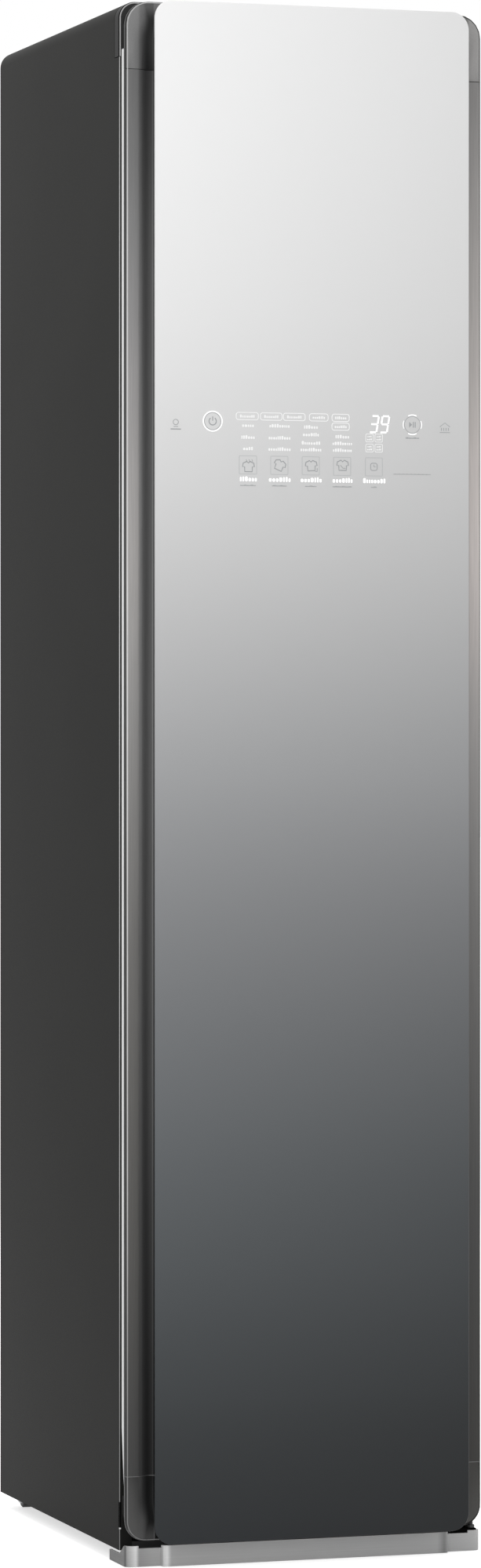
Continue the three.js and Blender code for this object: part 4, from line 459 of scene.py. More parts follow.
# Every finish: the function that makes it, its tone and its settings
FINISHES = {
    "case_steel": (satin_paint, (45, 45, 44), dict(roughness=0.5, mottle=0.04, gloss=0.03, stops=CASE_STOPS)),
    "trim_dark": (satin_paint, (58,), dict(roughness=0.45, mottle=0.04, gloss=0.04)),
    "zinc_sheet": (brushed_metal, (150, 152, 153), dict(roughness=0.42, stretch=(0.05, 1, 1), scale=300.0)),
    "dark_sheet": (satin_paint, (42,), dict(roughness=0.5)),
    "black_plastic": (moulded_plastic, (28,), {}),
    # The skirt's painted highlights and painted shade
    "silver_trim": (skirt_finish, (), {}),
    "liner_white": (moulded_plastic, (214, 214, 212), dict(roughness=0.45)),
    "liner_grey": (moulded_plastic, (150, 152, 152), dict(roughness=0.48)),
    "tank_clear": (clear_plastic, (206, 210, 212), {}),
    "tank_grey": (clear_plastic, (176, 178, 180), dict(roughness=0.16, clear_share=0.35)),
    "cap_grey": (moulded_plastic, (92, 96, 99), dict(roughness=0.4)),
    "polished_steel": (polished_metal, (205, 205, 206), {}),
    "hanger_wood": (lacquered_wood, (138, 106, 78), {}),
    "lamp_white": (lit_sign, (246, 243, 234), dict(glow=0.6)),
    "fin_aluminium": (brushed_metal, (182, 185, 187), dict(roughness=0.4, stretch=(1, 1, 0.1), scale=400.0)),
    "fin_copper": (brushed_metal, (170, 132, 104), dict(roughness=0.4, stretch=(1, 1, 0.1), scale=400.0)),
    "motor_grey": (satin_paint, (96, 99, 101), dict(roughness=0.4)),
    "compressor_black": (satin_paint, (34,), dict(roughness=0.25)),
    "boiler_cream": (moulded_plastic, (188, 181, 165), {}),
    "rubber_black": (soft_rubber, (30,), {}),
    "foam_cream": (soft_rubber, (214, 204, 176), dict(roughness=0.9)),
    "duct_white": (soft_rubber, (222, 222, 219), dict(roughness=0.85)),
    # Mirror glass with its painted reflection
    "mirror_glass": (painted_reflection_mirror, (), {}),
    # The frame's painted light; the caps get a lighter painted face and darker painted shade in the groove
    "frame_metal": (frame_finish, (), dict(roughness=0.36, stretch=(1, 1, 0.02))),
    "frame_cap": (frame_finish, (), dict(roughness=0.42, stretch=(1, 1, 1), face_gain=1.3, groove_gain=0.67)),
    "gasket_grey": (soft_rubber, (96,), dict(roughness=0.6)),
    "press_fabric": (woven_fabric, (186, 183, 176), {}),
    "circuit_dark": (moulded_plastic, (44, 48, 52), {}),
    # Painted highlights: frame_edge, case_fold and side_line. Painted shade: frame_side
    "frame_edge": (brushed_metal, (220,), dict(roughness=0.3, metallic=0.3, stops=EDGE_STOPS)),
    "case_fold": (brushed_metal, (220,), dict(roughness=0.3, metallic=0.3, stops=FOLD_STOPS)),
    "side_line": (brushed_metal, (128,), dict(roughness=0.4, metallic=0.2)),
    "frame_side": (satin_paint, (40,), dict(roughness=0.5, mottle=0.04, gloss=0.03)),
    "strip_white": (moulded_plastic, (240,), {}),
    # Painted shade on the skirt's sides and a painted highlight on its upper edges
    "skirt_side": (brushed_metal, (98,), dict(roughness=0.45, stretch=(1, 0.02, 1), scale=500, metallic=0.2)),
    "skirt_top": (brushed_metal, (205,), dict(roughness=0.4, stretch=(0.02, 1, 1), scale=500, metallic=0.2)),
    "filter_net": (woven_fabric, (74,), dict(pitch=2.4)),
    "thread": (woven_fabric, (208, 205, 198), dict(pitch=0.5)),
    "sign_white": (lit_sign, (250,), dict(glow=0.25)),
    "sign_soft": (lit_sign, (240,), dict(glow=0.12)),
    "sign_grey": (moulded_plastic, (162, 164, 166), {}),
    "sign_faint": (moulded_plastic, (186, 188, 189), {}),
    # Painted shade: black put into gaps, seams, folds and recesses
    "gap_black": (satin_paint, (10,), dict(roughness=0.8, grain=900.0, mottle=0.03, depth=0.01, gloss=0.02)),
}
MATERIALS = {}
for name, (make, shade, settings) in FINISHES.items():
    colours = [tone(*shade)] if shade else []
    MATERIALS[name] = make(name, *colours, **settings)


# Points of an arc, first and last included
def arc(u, v, radius, start, end, steps):
    turns = [start + (end - start) * i / steps for i in range(steps + 1)]
    return [(u + radius * math.cos(turn), v + radius * math.sin(turn)) for turn in turns]


def circle(radius, steps=40):
    return arc(0, 0, radius, 0, 2 * math.pi, steps)[:-1]


def corners(u0, u1, v0, v1):
    return [(u0, v0), (u0, v1), (u1, v1), (u1, v0)]


def rounded_rectangle(u0, u1, v0, v1, radius, steps=CORNER_STEPS):
    centres = ((u1 - radius, v0 + radius), (u1 - radius, v1 - radius),
               (u0 + radius, v1 - radius), (u0 + radius, v0 + radius))
    points = []
    for n, (u, v) in enumerate(centres):
        points += arc(u, v, radius, (n - 1) * QUARTER, n * QUARTER, steps)
    return points


# Each side of a closed ring: its two ends
def sides_of(ring):
    return zip(ring, ring[1:] + ring[:1])


# The place at a share of the way from one point to another
def between(near, far, share):
    return [a + (b - a) * share for a, b in zip(near, far)]


# The unit normal at each point of a path, from its neighbours on both sides
def normals(points, closed=False):
    count = len(points)
    found = []
    for i, point in enumerate(points):
        before = points[i - 1] if i > 0 or closed else point
        after = points[(i + 1) % count] if i < count - 1 or closed else point
        du, dv = after[0] - before[0], after[1] - before[1]
        length = math.hypot(du, dv) or 1.0
        found.append((-dv / length, du / length))
    return found


# A flat slab with round corners from one depth to another
def slab(x0, x1, z0, z1, y0, y1, corner, steps=CORNER_STEPS):
    return facing(rounded_rectangle(x0, x1, z0, z1, corner, steps), y0, y1)


# Stations of an upright path: a place and the way that faces out of it
def upright(side, foot, head):
    return [(side * HALF_WIDTH, z, side, 0) for z in (foot, head)]


def corner_stations(x, z, radius, start, end):
    stations = []
    for out_x, out_z in arc(0, 0, 1, start, end, CORNER_STEPS):
        stations.append((x + radius * out_x, z + radius * out_z, out_x, out_z))
    return stations


def arch_stations(half, foot, top, radius):
    return [
        (-half, foot, -1, 0),
        *corner_stations(radius - half, top - radius, radius, math.pi, QUARTER),
        *corner_stations(half - radius, top - radius, radius, QUARTER, 0),
        (half, foot, 1, 0),
    ]


def ring_stations(half, bottom, top, radius):
    return [
        *corner_stations(half - radius, bottom + radius, radius, -QUARTER, 0),
        *corner_stations(half - radius, top - radius, radius, 0, QUARTER),
        *corner_stations(radius - half, top - radius, radius, QUARTER, math.pi),
        *corner_stations(radius - half, bottom + radius, radius, math.pi, math.pi + QUARTER),
    ]


def mesh_of(points, faces):
    mesh = bpy.data.meshes.new("form")
    mesh.from_pydata(points, [], faces)
    return mesh


# Joins rings of points into a closed skin
def loft(rings, joined=False):
    count = len(rings[0])
    faces = []
    for i in range(len(rings) if joined else len(rings) - 1):
        near, far = i * count, (i + 1) % len(rings) * count
        for j in range(count):
            k = (j + 1) % count
            faces.append((near + j, near + k, far + k, far + j))
    if not joined:
        last = (len(rings) - 1) * count
        faces.append(tuple(range(count))[::-1])
        faces.append(tuple(last + j for j in range(count)))
    return mesh_of([point for ring in rings for point in ring], faces)


# Runs a section of inset and Y along stations
def sweep(section, stations):
    return loft([
        [(x - out_x * inset, y, z - out_z * inset) for inset, y in section] for x, z, out_x, out_z in stations
    ])


# An outline of X and Z carried back from one depth to another
def facing(outline, y0, y1):
    return loft([[(x, y, z) for x, z in outline] for y in (y0, y1)])


# A plan of X and Y carried up to one height or more
def standing(plan, *heights):
    return loft([[(x, y, z) for x, y in plan] for z in heights])


def tidy_mesh(mesh, flat=False):
    shape = bmesh.new()
    shape.from_mesh(mesh)
    bmesh.ops.remove_doubles(shape, verts=shape.verts, dist=WELD)
    if flat:
        bmesh.ops.dissolve_limit(shape, angle_limit=FLAT_ANGLE, verts=shape.verts, edges=shape.edges)
    bmesh.ops.recalc_face_normals(shape, faces=shape.faces)
    shape.to_mesh(mesh)
    shape.free()


def joined_mesh(meshes):
    shape = bmesh.new()
    for mesh in meshes:
        shape.from_mesh(mesh)
        bpy.data.meshes.remove(mesh)
    joined = bpy.data.meshes.new("form")
    shape.to_mesh(joined)
    shape.free()
    tidy_mesh(joined)
    return joined


# Sets a mesh, or a list of meshes joined and cleaned, up as a piece that rides on a body
def piece_of(name, form, body, slot, replaces=(), finish=None, edge=0.0, segments=2):
    mesh = joined_mesh(form) if isinstance(form, list) else form
    mesh.name = name
    piece = placed(name, mesh)
    mesh.materials.clear()
    mesh.materials.append(MATERIALS[finish or slot])
    for face in mesh.polygons:
        face.use_smooth = True
    mesh.set_sharp_from_angle(angle=SMOOTH_ANGLE)
    if edge:
        configure(
            piece.modifiers.new("soft edges", "BEVEL"), width=edge, segments=segments,
            limit_method="ANGLE", angle_limit=BEVEL_ANGLE, harden_normals=True,
        )
    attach(piece, body)
    if replaces:
        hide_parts(*replaces)
    return piece


NODE_SLOTS = {row["node"]: row["material_slot"] for row in frame["record"]["subparts"]}
NODE_BODIES = {
    node: body for body, nodes in frame["record"]["behaviour"]["bodies"].items() for node in nodes
}
FINE_EDGE = 0.35 * MM


# A CAD node's own shape again, with flat faces joined, soft edges and smooth shading
def refined(node, edge=FINE_EDGE, flat=True):
    mesh = frame["nodes"][node].data.copy()
    tidy_mesh(mesh, flat)
    return piece_of(node + "_fine", mesh, NODE_BODIES[node], NODE_SLOTS[node], (node,), edge=edge)


# Paints the faces whose centres and normals pass a test with another finish
def paint_faces(piece, finish, test):
    mesh = piece.data
    mesh.materials.append(MATERIALS[finish])
    number = len(mesh.materials) - 1
    for face in mesh.polygons:
        if test(face.center, face.normal):
            face.material_index = number


# Folded section: a wall, the round front bend and the return flange
def folded_section(back, front, flange, sheet, bend, steps=6):
    outer = arc(bend, front + bend, bend, math.pi, math.pi + QUARTER, steps)
    inner = arc(bend, front + bend, bend - sheet, math.pi + QUARTER, math.pi, steps)
    return [(0, back), *outer, (flange, front), (flange, front + sheet), *inner, (sheet, back)]


# A thin strip laid over part of a round fold, from one turn in degrees to another
def fold_strip(front, bend, start, end, steps=5):
    start, end = math.radians(start), math.radians(end)
    outer = arc(bend, front + bend, bend + LINE_LIFT, start, end, steps)
    inner = arc(bend, front + bend, bend - LINE_SINK, end, start, steps)
    return outer + inner


# Painted highlight and painted shadow laid along the case's and the trim's front folds: each line's name, its
# turns in degrees and its finish
CASE_LINES = (("case_fold_glint", (212, 240), "case_fold"), ("case_fold_shadow", (182, 206), "gap_black"))
TRIM_LINES = (("trim_glint", (225, 252), "case_fold"), ("trim_shadow", (190, 212), "gap_black"))


def make_case():
    section = folded_section(BACK_Y, CASE_FRONT, FLANGE, SHEET, CASE_BEND)
    behind = folded_section(BACK_Y, TRIM_BACK + TRIM_GAP, SHEET * 2, SHEET, SHEET * 1.5)
    wall_head = TRIM_FOOT - TRIM_GAP
    walls = [upright(side, CASE_FOOT, wall_head) for side, _ in SIDES]
    shell = [sweep(section, wall) for wall in walls]
    shell.append(sweep(behind, arch_stations(HALF_WIDTH, wall_head, TOP, CASE_CORNER)))
    piece_of("case_shell", shell, "cabinet", "case_steel", ("outer_case",))
    for name, turns, finish in CASE_LINES:
        strip = fold_strip(CASE_FRONT, CASE_BEND, *turns)
        piece_of(name, [sweep(strip, wall) for wall in walls], "cabinet", "case_steel", finish=finish)


def make_trim():
    section = folded_section(TRIM_BACK, CASE_FRONT, FLANGE, TRIM_SHEET, TRIM_BEND)
    stations = arch_stations(HALF_WIDTH, TRIM_FOOT, TOP, CASE_CORNER)
    trim = sweep(section, stations)
    piece_of("top_trim", trim, "cabinet", "trim_dark", ("top_front_trim",), edge=TRIM_EDGE)
    for name, turns, finish in TRIM_LINES:
        line = sweep(fold_strip(CASE_FRONT, TRIM_BEND, *turns), stations)
        piece_of(name, line, "cabinet", "trim_dark", finish=finish)
    # Black in the seam gap between trim and case, as painted shade
    seam = corners(SHEET / 2, SHEET * 2, TRIM_BACK - TRIM_GAP, TRIM_BACK + TRIM_GAP * 2)
    piece_of("trim_seam", sweep(seam, stations), "cabinet", "trim_dark", finish="gap_black")


# Glass with a polished bevel all round
def make_glass():
    glass = slab(-GLASS_HALF, GLASS_HALF, GLASS_FOOT, GLASS_HEAD, FRONT, GLASS_BACK, GLASS_CORNER)
    piece_of("mirror_front", glass, "door", "mirror_glass", ("door_glass",), edge=GLASS_BEVEL, segments=3)


# The frame's round outer edge, and the flat face's end with the groove
def edge_section(lift=0.0):
    return arc(FRAME_EDGE, FRAME_FRONT + FRAME_EDGE, FRAME_EDGE + lift, math.pi, math.pi + QUARTER, 8)


def groove_section(steps=24):
    points = []
    for i in range(steps + 1):
        share = i / steps
        fall = (1 - math.cos(math.pi * share)) / 2
        points.append((PLATEAU + GROOVE_FALL * share, FRAME_FRONT + GROOVE_DEPTH * fall))
    centre = FRAME_FRONT + GROOVE_DEPTH - GROOVE_RISE
    return points + arc(PLATEAU + GROOVE_FALL, centre, GROOVE_RISE, QUARTER, 0, 16)[1:]


# The outward sides of the frame are plain and dark: painted shade
SIDE_SLOPE = 0.3


def darken_sides(piece):
    paint_faces(
        piece, "frame_side",
        lambda c, n: abs(n.y) < SIDE_SLOPE and abs(c.x) > GLASS_HALF and c.y > FRAME_FRONT,
    )


def make_stiles():
    web = PLATEAU + GROOVE_FALL + GROOVE_RISE
    web_front = GLASS_BACK + WEB_GAP
    section = [
        (0, FRAME_BACK), *edge_section(), *groove_section(),
        (web, web_front), (web + WEB, web_front), (web + WEB, FRAME_BACK),
    ]
    for side, label in SIDES:
        stile = [sweep(section, upright(side, STILE_FOOT, STILE_HEAD))]
        darken_sides(piece_of("stile_" + label, stile, "door", "frame_metal", ("door_stile_" + label,)))


# The lower cap reaches lower than its solid, with a tighter corner. What lies near its middle stays
CAP_DROP = 2.2 * MM
CAP_FOOT_CORNER = 24 * MM
CAP_HOLD = 18 * MM
CAP_MOVED_DEPTH = 5 * MM
CAP_REAR_LIFT = 0.2 * MM


# How far the tighter corner lies from the old corner's centre, in a direction of given cosine and sine
def corner_reach(ca, sa):
    wide, tall, radius = CAP_CORNER, CAP_CORNER + CAP_DROP, CAP_FOOT_CORNER
    u, v = wide - radius, tall - radius
    if ca * v >= sa * wide:
        return wide / ca
    if sa * u >= ca * tall:
        return tall / sa
    middle = u * ca + v * sa
    return middle + math.sqrt(max(0.0, middle ** 2 - u * u - v * v + radius ** 2))


# Moves a place of the lower cap to where the lowered, tighter outline puts it
def cap_place(x, z):
    centre_x, centre_z = HALF_WIDTH - CAP_CORNER, FRAME_FOOT + CAP_CORNER
    dx, dz = max(0.0, abs(x) - centre_x), max(0.0, centre_z - z)
    if dz == 0:
        return x, z
    reach = math.hypot(dx, dz)
    weight = min(1.0, max(0.0, (reach - CAP_HOLD) / (CAP_CORNER - CAP_HOLD)))
    scale = 1 + (corner_reach(dx / reach, dz / reach) / CAP_CORNER - 1) * weight
    new_x = math.copysign(centre_x + dx * scale, x) if dx else x
    return new_x, centre_z - dz * scale


def make_caps():
    for label in ("top", "bottom"):
        cap = refined("door_cap_" + label, 0, False)
        if label == "bottom":
            for vertex in cap.data.vertices:
                if vertex.co.y < FRAME_FRONT + CAP_MOVED_DEPTH:
                    vertex.co.x, vertex.co.z = cap_place(vertex.co.x, vertex.co.z)
        darken_sides(cap)
        # The caps' rear faces get the same painted shade
        paint_faces(cap, "frame_side", lambda c, n: c.y > FRAME_BACK + CAP_REAR_LIFT)


# Painted highlight along the frame's outer edge on the left, painted shade along it on the right, and a
# painted highlight line behind it
LINE_REACH = 120 * MM
BACK_LINE_FRONT = FRAME_BACK - 4.2 * MM
BACK_LINE_BACK = FRAME_BACK - 3.2 * MM
EDGE_LINE_TURNS = (230, 252)


def make_frame_lines():
    ring = [
        (*cap_place(x, z), *out)
        for x, z, *out in ring_stations(HALF_WIDTH, FRAME_FOOT, FRAME_HEAD, CAP_CORNER)
    ]
    left = [station for station in ring if station[0] < 0]
    right = [station for station in ring if station[0] > 0]
    left = [(-LINE_REACH, FRAME_HEAD, 0, 1), *left, (*cap_place(-LINE_REACH, FRAME_FOOT), 0, -1)]
    edge = fold_strip(FRAME_FRONT, FRAME_EDGE, *EDGE_LINE_TURNS, 6)
    back = corners(-LINE_LIFT, LINE_SINK, BACK_LINE_FRONT, BACK_LINE_BACK)
    for name, section, stations, finish in (
        ("frame_glint", edge, left, "frame_edge"),
        ("frame_line", edge, right, "frame_side"),
        ("frame_back_line", back, left, "side_line"),
    ):
        piece_of(name, sweep(section, stations), "door", "frame_metal", finish=finish)


# Seams where the caps meet the stiles: a painted highlight line below, a painted shadow line above
SEAM_WIDTH = 0.55 * MM
SEAM_DEPTH = LINE_SINK * 0.4


def make_cap_seams():
    outline = edge_section(LINE_LIFT) + [(inset, y - LINE_LIFT) for inset, y in groove_section()]
    section = outline + [(inset + SEAM_DEPTH, y + LINE_SINK) for inset, y in reversed(outline)]
    for label, height, finish in (("top", STILE_HEAD, "gap_black"), ("bottom", STILE_FOOT, "side_line")):
        foot = height - SEAM_WIDTH / 2
        seams = [sweep(section, upright(side, foot, foot + SEAM_WIDTH)) for side, _ in SIDES]
        piece_of("cap_seam_" + label, seams, "door", "frame_cap", finish=finish)


# Pale edge of the inner panel, seen in the gap between door and cabinet. It narrows to its foot
STRIP_FOOT = FRAME_FOOT + 49.6 * MM
STRIP_HEAD = FRAME_HEAD - 54 * MM
STRIP_TAPER = 80 * MM
STRIP_OUT = 0.4 * MM
STRIP_IN = 1.0 * MM
STRIP_SETBACK = 0.8 * MM
STRIP_CLEAR = 1.4 * MM
STRIP_EDGE = 0.5 * MM
NARROW_SHARE = 0.4


def make_edge_strips():
    panel_side = high("door_inner_panel").x
    front, back = low("door_inner_panel").y + STRIP_SETBACK, CASE_FRONT - STRIP_CLEAR
    narrow = front + (back - front) * NARROW_SHARE
    for side, label in SIDES:
        outer, inner = side * (panel_side + STRIP_OUT), side * (panel_side - STRIP_IN)
        rings = [
            [(x, y, z) for x, y in corners(outer, inner, front, rear)]
            for z, rear in ((STRIP_FOOT, narrow), (STRIP_FOOT + STRIP_TAPER, back), (STRIP_HEAD, back))
        ]
        piece_of("panel_edge_" + label, [loft(rings)], "door", "liner_white",
                 finish="strip_white", edge=STRIP_EDGE)


# Black sill under the openings, and the cover round the lower hinge: both black as painted shade
SILL_REACH = 0.2 * MM
SILL_PROUD = 1.6 * MM
SILL_GAP = 1.5 * MM
SILL_CORNER = 3 * MM
SILL_EDGE = 0.4 * MM
COVER_SIDE = 2 * MM
COVER_PROUD = 1.2 * MM
COVER_GAP = 0.4 * MM
COVER_TALL = 8.5 * MM
COVER_CLEAR = 0.3 * MM
COVER_EDGE = 0.8 * MM


def make_shade_sill():
    bezel_low, bezel_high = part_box("front_bezel")
    foot, head = bezel_low.z - SILL_REACH, low("door_gasket").z - SILL_GAP
    half = bezel_high.x + SILL_REACH
    front, back = bezel_low.y - SILL_PROUD, bezel_high.y - SILL_REACH
    sill = slab(-half, half, foot, head, front, back, SILL_CORNER, 6)
    piece_of("front_shade_sill", [sill], "cabinet", "black_plastic", finish="gap_black", edge=SILL_EDGE)
    hinge_low, hinge_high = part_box("hinge_bracket_bottom")
    plan = corners(
        hinge_low.x - COVER_SIDE, hinge_high.x + COVER_GAP, hinge_low.y - COVER_PROUD, CASE_FRONT - COVER_GAP,
    )
    cover = [standing(plan, hinge_low.z - COVER_TALL, hinge_low.z - COVER_CLEAR)]
    piece_of("hinge_cover", cover, "cabinet", "black_plastic", finish="gap_black", edge=COVER_EDGE)


# Small catch let into the case's front fold, low on the left: a black strip as painted shade in its slot, and
# a painted highlight at its foot
CATCH_PARTS = (
    ("catch_slot", (44 * MM, 74 * MM), "gap_black"),
    ("catch_foot", (41.8 * MM, 43.6 * MM), "skirt_top"),
)
CATCH_TURNS = (200, 262)


def make_catch():
    section = fold_strip(CASE_FRONT - LINE_LIFT, CASE_BEND + LINE_LIFT, *CATCH_TURNS)
    for name, heights, finish in CATCH_PARTS:
        piece_of(name, sweep(section, upright(-1, *heights)), "cabinet", "case_steel", finish=finish)


# Skirt with painted shade on its sides and a painted highlight on its upper edges
SKIRT_EDGE = 1.0 * MM
SKIRT_TAB = 12 * MM
SIDEWAYS_SHARE = 0.7
UPWARD_SHARE = 0.5


def make_skirt():
    skirt = refined("front_skirt", SKIRT_EDGE)
    tab_back = low("front_skirt").y + SKIRT_TAB
    paint_faces(skirt, "skirt_side", lambda c, n: abs(n.x) > SIDEWAYS_SHARE and c.y > tab_back)
    paint_faces(skirt, "skirt_top", lambda c, n: n.z > UPWARD_SHARE)


# Nodes that keep their CAD shape, with finer edges
REFINED = (
    "cabin_liner", "front_bezel", "shelf", "tank_bay", "supply_tank",
    "drain_tank", "supply_tank_cap", "drain_tank_cap", "hanger_bar",
    "lamp_lens", "floor_grille", "outlet_grille", "steam_nozzle", "door_inner_panel", "press_plate",
    "back_panel", "cord_gland", "base_pan", "front_foot_left", "front_foot_right",
    "rear_roller_left", "rear_roller_right", "roller_bracket_left", "roller_bracket_right",
    "roller_axle_left", "roller_axle_right", "hinge_bracket_bottom", "hinge_bracket_top",
    "press_hinge_pin", "door_gasket",
)


def make_refined():
    for node in REFINED:
        refined(node)


# A round wire along places of Y and Z in the plane X
def wire(x, places, radius, sides=12):
    return loft([
        [(x + u, y + ny * v, z + nz * v) for u, v in circle(radius, sides)]
        for (y, z), (ny, nz) in zip(places, normals(places))
    ])


HOOK_WIRE = 2 * MM
HOOK_RADIUS = 16 * MM
HOOK_STEM = 26 * MM
HOOK_STEPS = 28
HOOK_TURNS = (-0.18 * math.pi, 1.32 * math.pi, 1.3 * math.pi)
STEM_SHARES = (0.3, 0.5, 0.75, 1)
COLLAR_RADIUS = 4.5 * MM
COLLAR_LIFTS = (5 * MM, 2.6 * MM, 1.6 * MM)
COLLAR_EDGE = 0.5 * MM
ARM_SPANS = 40
ARM_SIDES = 28
ARM_TALL, ARM_TALL_LOSS = 20 * MM, 5 * MM
ARM_WIDE, ARM_WIDE_GAIN = 12 * MM, 22 * MM
ARM_DROP_SHARE = 0.3
ARM_END_SHARE = 0.08
ARM_TIP_SHARE = 0.15


# Rings of the wooden body, which drops and swells to the shoulders and closes at its ends
def hanger_rings(x, y, neck, half):
    rings = []
    for i in range(ARM_SPANS + 1):
        along = -math.cos(math.pi * i / ARM_SPANS)
        share = abs(along)
        tall = ARM_TALL - ARM_TALL_LOSS * share
        wide = ARM_WIDE + ARM_WIDE_GAIN * share ** 2
        past = max(0.0, (share - 1 + ARM_END_SHARE) / ARM_END_SHARE)
        close = math.sqrt(max(0.0, 1 - past ** 2)) * (1 - ARM_TIP_SHARE) + ARM_TIP_SHARE
        centre = neck - ARM_TALL / 3 - half * ARM_DROP_SHARE * share ** 1.4
        ring = circle(close / 2, ARM_SIDES)
        rings.append([(x + u * wide, y + half * along, centre + v * tall) for u, v in ring])
    return rings


# Contoured wooden hanger on a bent steel hook, with a collar between them
def make_hanger(node):
    box_low, box_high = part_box(node)
    x, y, _ = middle(node)
    body = NODE_BODIES[node]
    hook = box_high.z - HOOK_RADIUS - HOOK_WIRE
    neck = hook - HOOK_RADIUS - HOOK_STEM
    rings = hanger_rings(x, y, neck, (box_high.y - box_low.y) / 2)
    piece_of(node + "_body", [loft(rings)], body, "hanger_wood", (node,))
    start, end, last = HOOK_TURNS
    turns = [start + (end - start) * n / HOOK_STEPS for n in range(HOOK_STEPS + 1)]
    bend = [
        (y - HOOK_RADIUS * math.cos(turn), hook + HOOK_RADIUS * math.sin(turn))
        for turn in turns if turn < last
    ]
    stem = [(y, hook - HOOK_RADIUS - HOOK_STEM * share) for share in STEM_SHARES]
    piece_of(node + "_hook", [wire(x, bend + stem, HOOK_WIRE)], body, "polished_steel")
    collar = [wire(x, [(y, neck + lift) for lift in COLLAR_LIFTS], COLLAR_RADIUS, 20)]
    piece_of(node + "_collar", collar, body, "polished_steel", edge=COLLAR_EDGE)


def make_hangers():
    for node in ("hanger_1", "hanger_2", "hanger_3"):
        make_hanger(node)


# Domed cross head screws round the back panel, with black crosses as painted shade in their recesses
SCREW_RADIUS = 4.4 * MM
SCREW_RISE = 1.7 * MM
SCREW_SUNK = 0.2 * MM
SCREW_ROWS = 6
SCREW_RINGS = 6
SCREW_SIDE_INSET = 14 * MM
SCREW_END_INSET = 40 * MM
SCREW_FOOT_INSET = 20 * MM
SCREW_HEAD_INSET = 22 * MM
CROSS_HALF_LONG = 2.2 * MM
CROSS_HALF_WIDE = 0.45 * MM
CROSS_CORNER = 0.3 * MM
CROSS_DEPTH = 0.9 * MM
CROSS_PROUD = 0.02 * MM


def screw_places():
    panel_low, panel_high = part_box("back_panel")
    side = panel_high.x - SCREW_SIDE_INSET
    span = panel_high.z - panel_low.z - SCREW_END_INSET * 2
    places = []
    for n in range(SCREW_ROWS):
        z = panel_low.z + SCREW_END_INSET + span * n / (SCREW_ROWS - 1)
        places += [(-side, z), (side, z)]
    return places + [(0, panel_low.z + SCREW_FOOT_INSET), (0, panel_high.z - SCREW_HEAD_INSET)]


def make_screws():
    panel_y = high("back_panel").y
    depths = (panel_y + SCREW_RISE - CROSS_DEPTH, panel_y + SCREW_RISE + CROSS_PROUD)
    heads, marks = [], []
    for x, z in screw_places():
        rings = []
        for n in range(SCREW_RINGS):
            turn = QUARTER * n / (SCREW_RINGS - 0.5)
            y = panel_y - SCREW_SUNK + (SCREW_RISE + SCREW_SUNK) * math.sin(turn)
            rings.append([(x + u, y, z + v) for u, v in circle(SCREW_RADIUS * math.cos(turn), 20)])
        heads.append(loft(rings))
        for wide, tall in ((CROSS_HALF_LONG, CROSS_HALF_WIDE), (CROSS_HALF_WIDE, CROSS_HALF_LONG)):
            marks.append(slab(x - wide, x + wide, z - tall, z + tall, *depths, CROSS_CORNER, 3))
    piece_of("panel_screws", heads, "cabinet", "zinc_sheet")
    piece_of("screw_marks", marks, "cabinet", "zinc_sheet", finish="gap_black")


# Lint filter whose face keeps clear of the door's inner panel, with a fine net in its windows
FILTER_EDGE = 0.5 * MM
FILTER_CLEAR = 0.5 * MM
NET_SIDE = 7 * MM
NET_FOOT, NET_HEAD = 3 * MM, 57 * MM
NET_CORNER = 2 * MM
NET_HALF = 0.4 * MM


def make_filter():
    box_low, box_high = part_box("lint_filter")
    for vertex in refined("lint_filter", FILTER_EDGE).data.vertices:
        vertex.co.y = max(vertex.co.y, box_low.y + FILTER_CLEAR)
    y = middle("lint_filter")[1]
    net = slab(
        box_low.x + NET_SIDE, box_high.x - NET_SIDE, box_low.z + NET_FOOT, box_low.z + NET_HEAD,
        y - NET_HALF, y + NET_HALF, NET_CORNER, 3,
    )
    piece_of("filter_net", [net], NODE_BODIES["lint_filter"], "cap_grey", finish="filter_net")


def dress_rest():
    for name, node in frame["nodes"].items():
        if node.hide_render:
            continue
        node.data.materials.clear()
        node.data.materials.append(MATERIALS[NODE_SLOTS[name]])


# Display on the glass, in millimetres. A glyph is made of flat ribbons and filled outlines
SIGN_HALF = 0.12 * MM
SIGN_DEPTHS = (FRONT - SIGN_HALF, FRONT + SIGN_HALF)


def glyph(name, meshes, finish):
    piece_of(name, meshes, "door", "mirror_glass", finish=finish)


def mm_points(points, x, z):
    return [(x * MM + u * MM, z * MM + v * MM) for u, v in points]


# A line of even width along points about a place, closed or open
def ribbon(shape, x, z, width, closed=False):
    points = mm_points(shape, x, z)
    half = width * MM / 2
    section = [(half, y) for y in SIGN_DEPTHS] + [(-half, y) for y in reversed(SIGN_DEPTHS)]
    return loft([
        [(px + nx * off, y, pz + nz * off) for off, y in section]
        for (px, pz), (nx, nz) in zip(points, normals(points, closed))
    ], closed)


def filled(shape, x, z):
    return facing(mm_points(shape, x, z), *SIGN_DEPTHS)


def arc_glyph(x, z, radius, start, end, width):
    return ribbon(arc(0, 0, radius, math.radians(start), math.radians(end), 18), x, z, width)


def ring_glyph(x, z, radius, width, steps=40):
    return ribbon(circle(radius, steps), x, z, width, True)


def bar_glyph(x, z, wide, tall):
    shape = rounded_rectangle(-wide / 2, wide / 2, -tall / 2, tall / 2, min(wide, tall) * 0.4, 4)
    return filled(shape, x, z)


def frame_glyph(x, z, wide, tall, radius, width):
    shape = rounded_rectangle(-wide / 2, wide / 2, -tall / 2, tall / 2, radius, 5)
    return ribbon(shape, x, z, width, True)


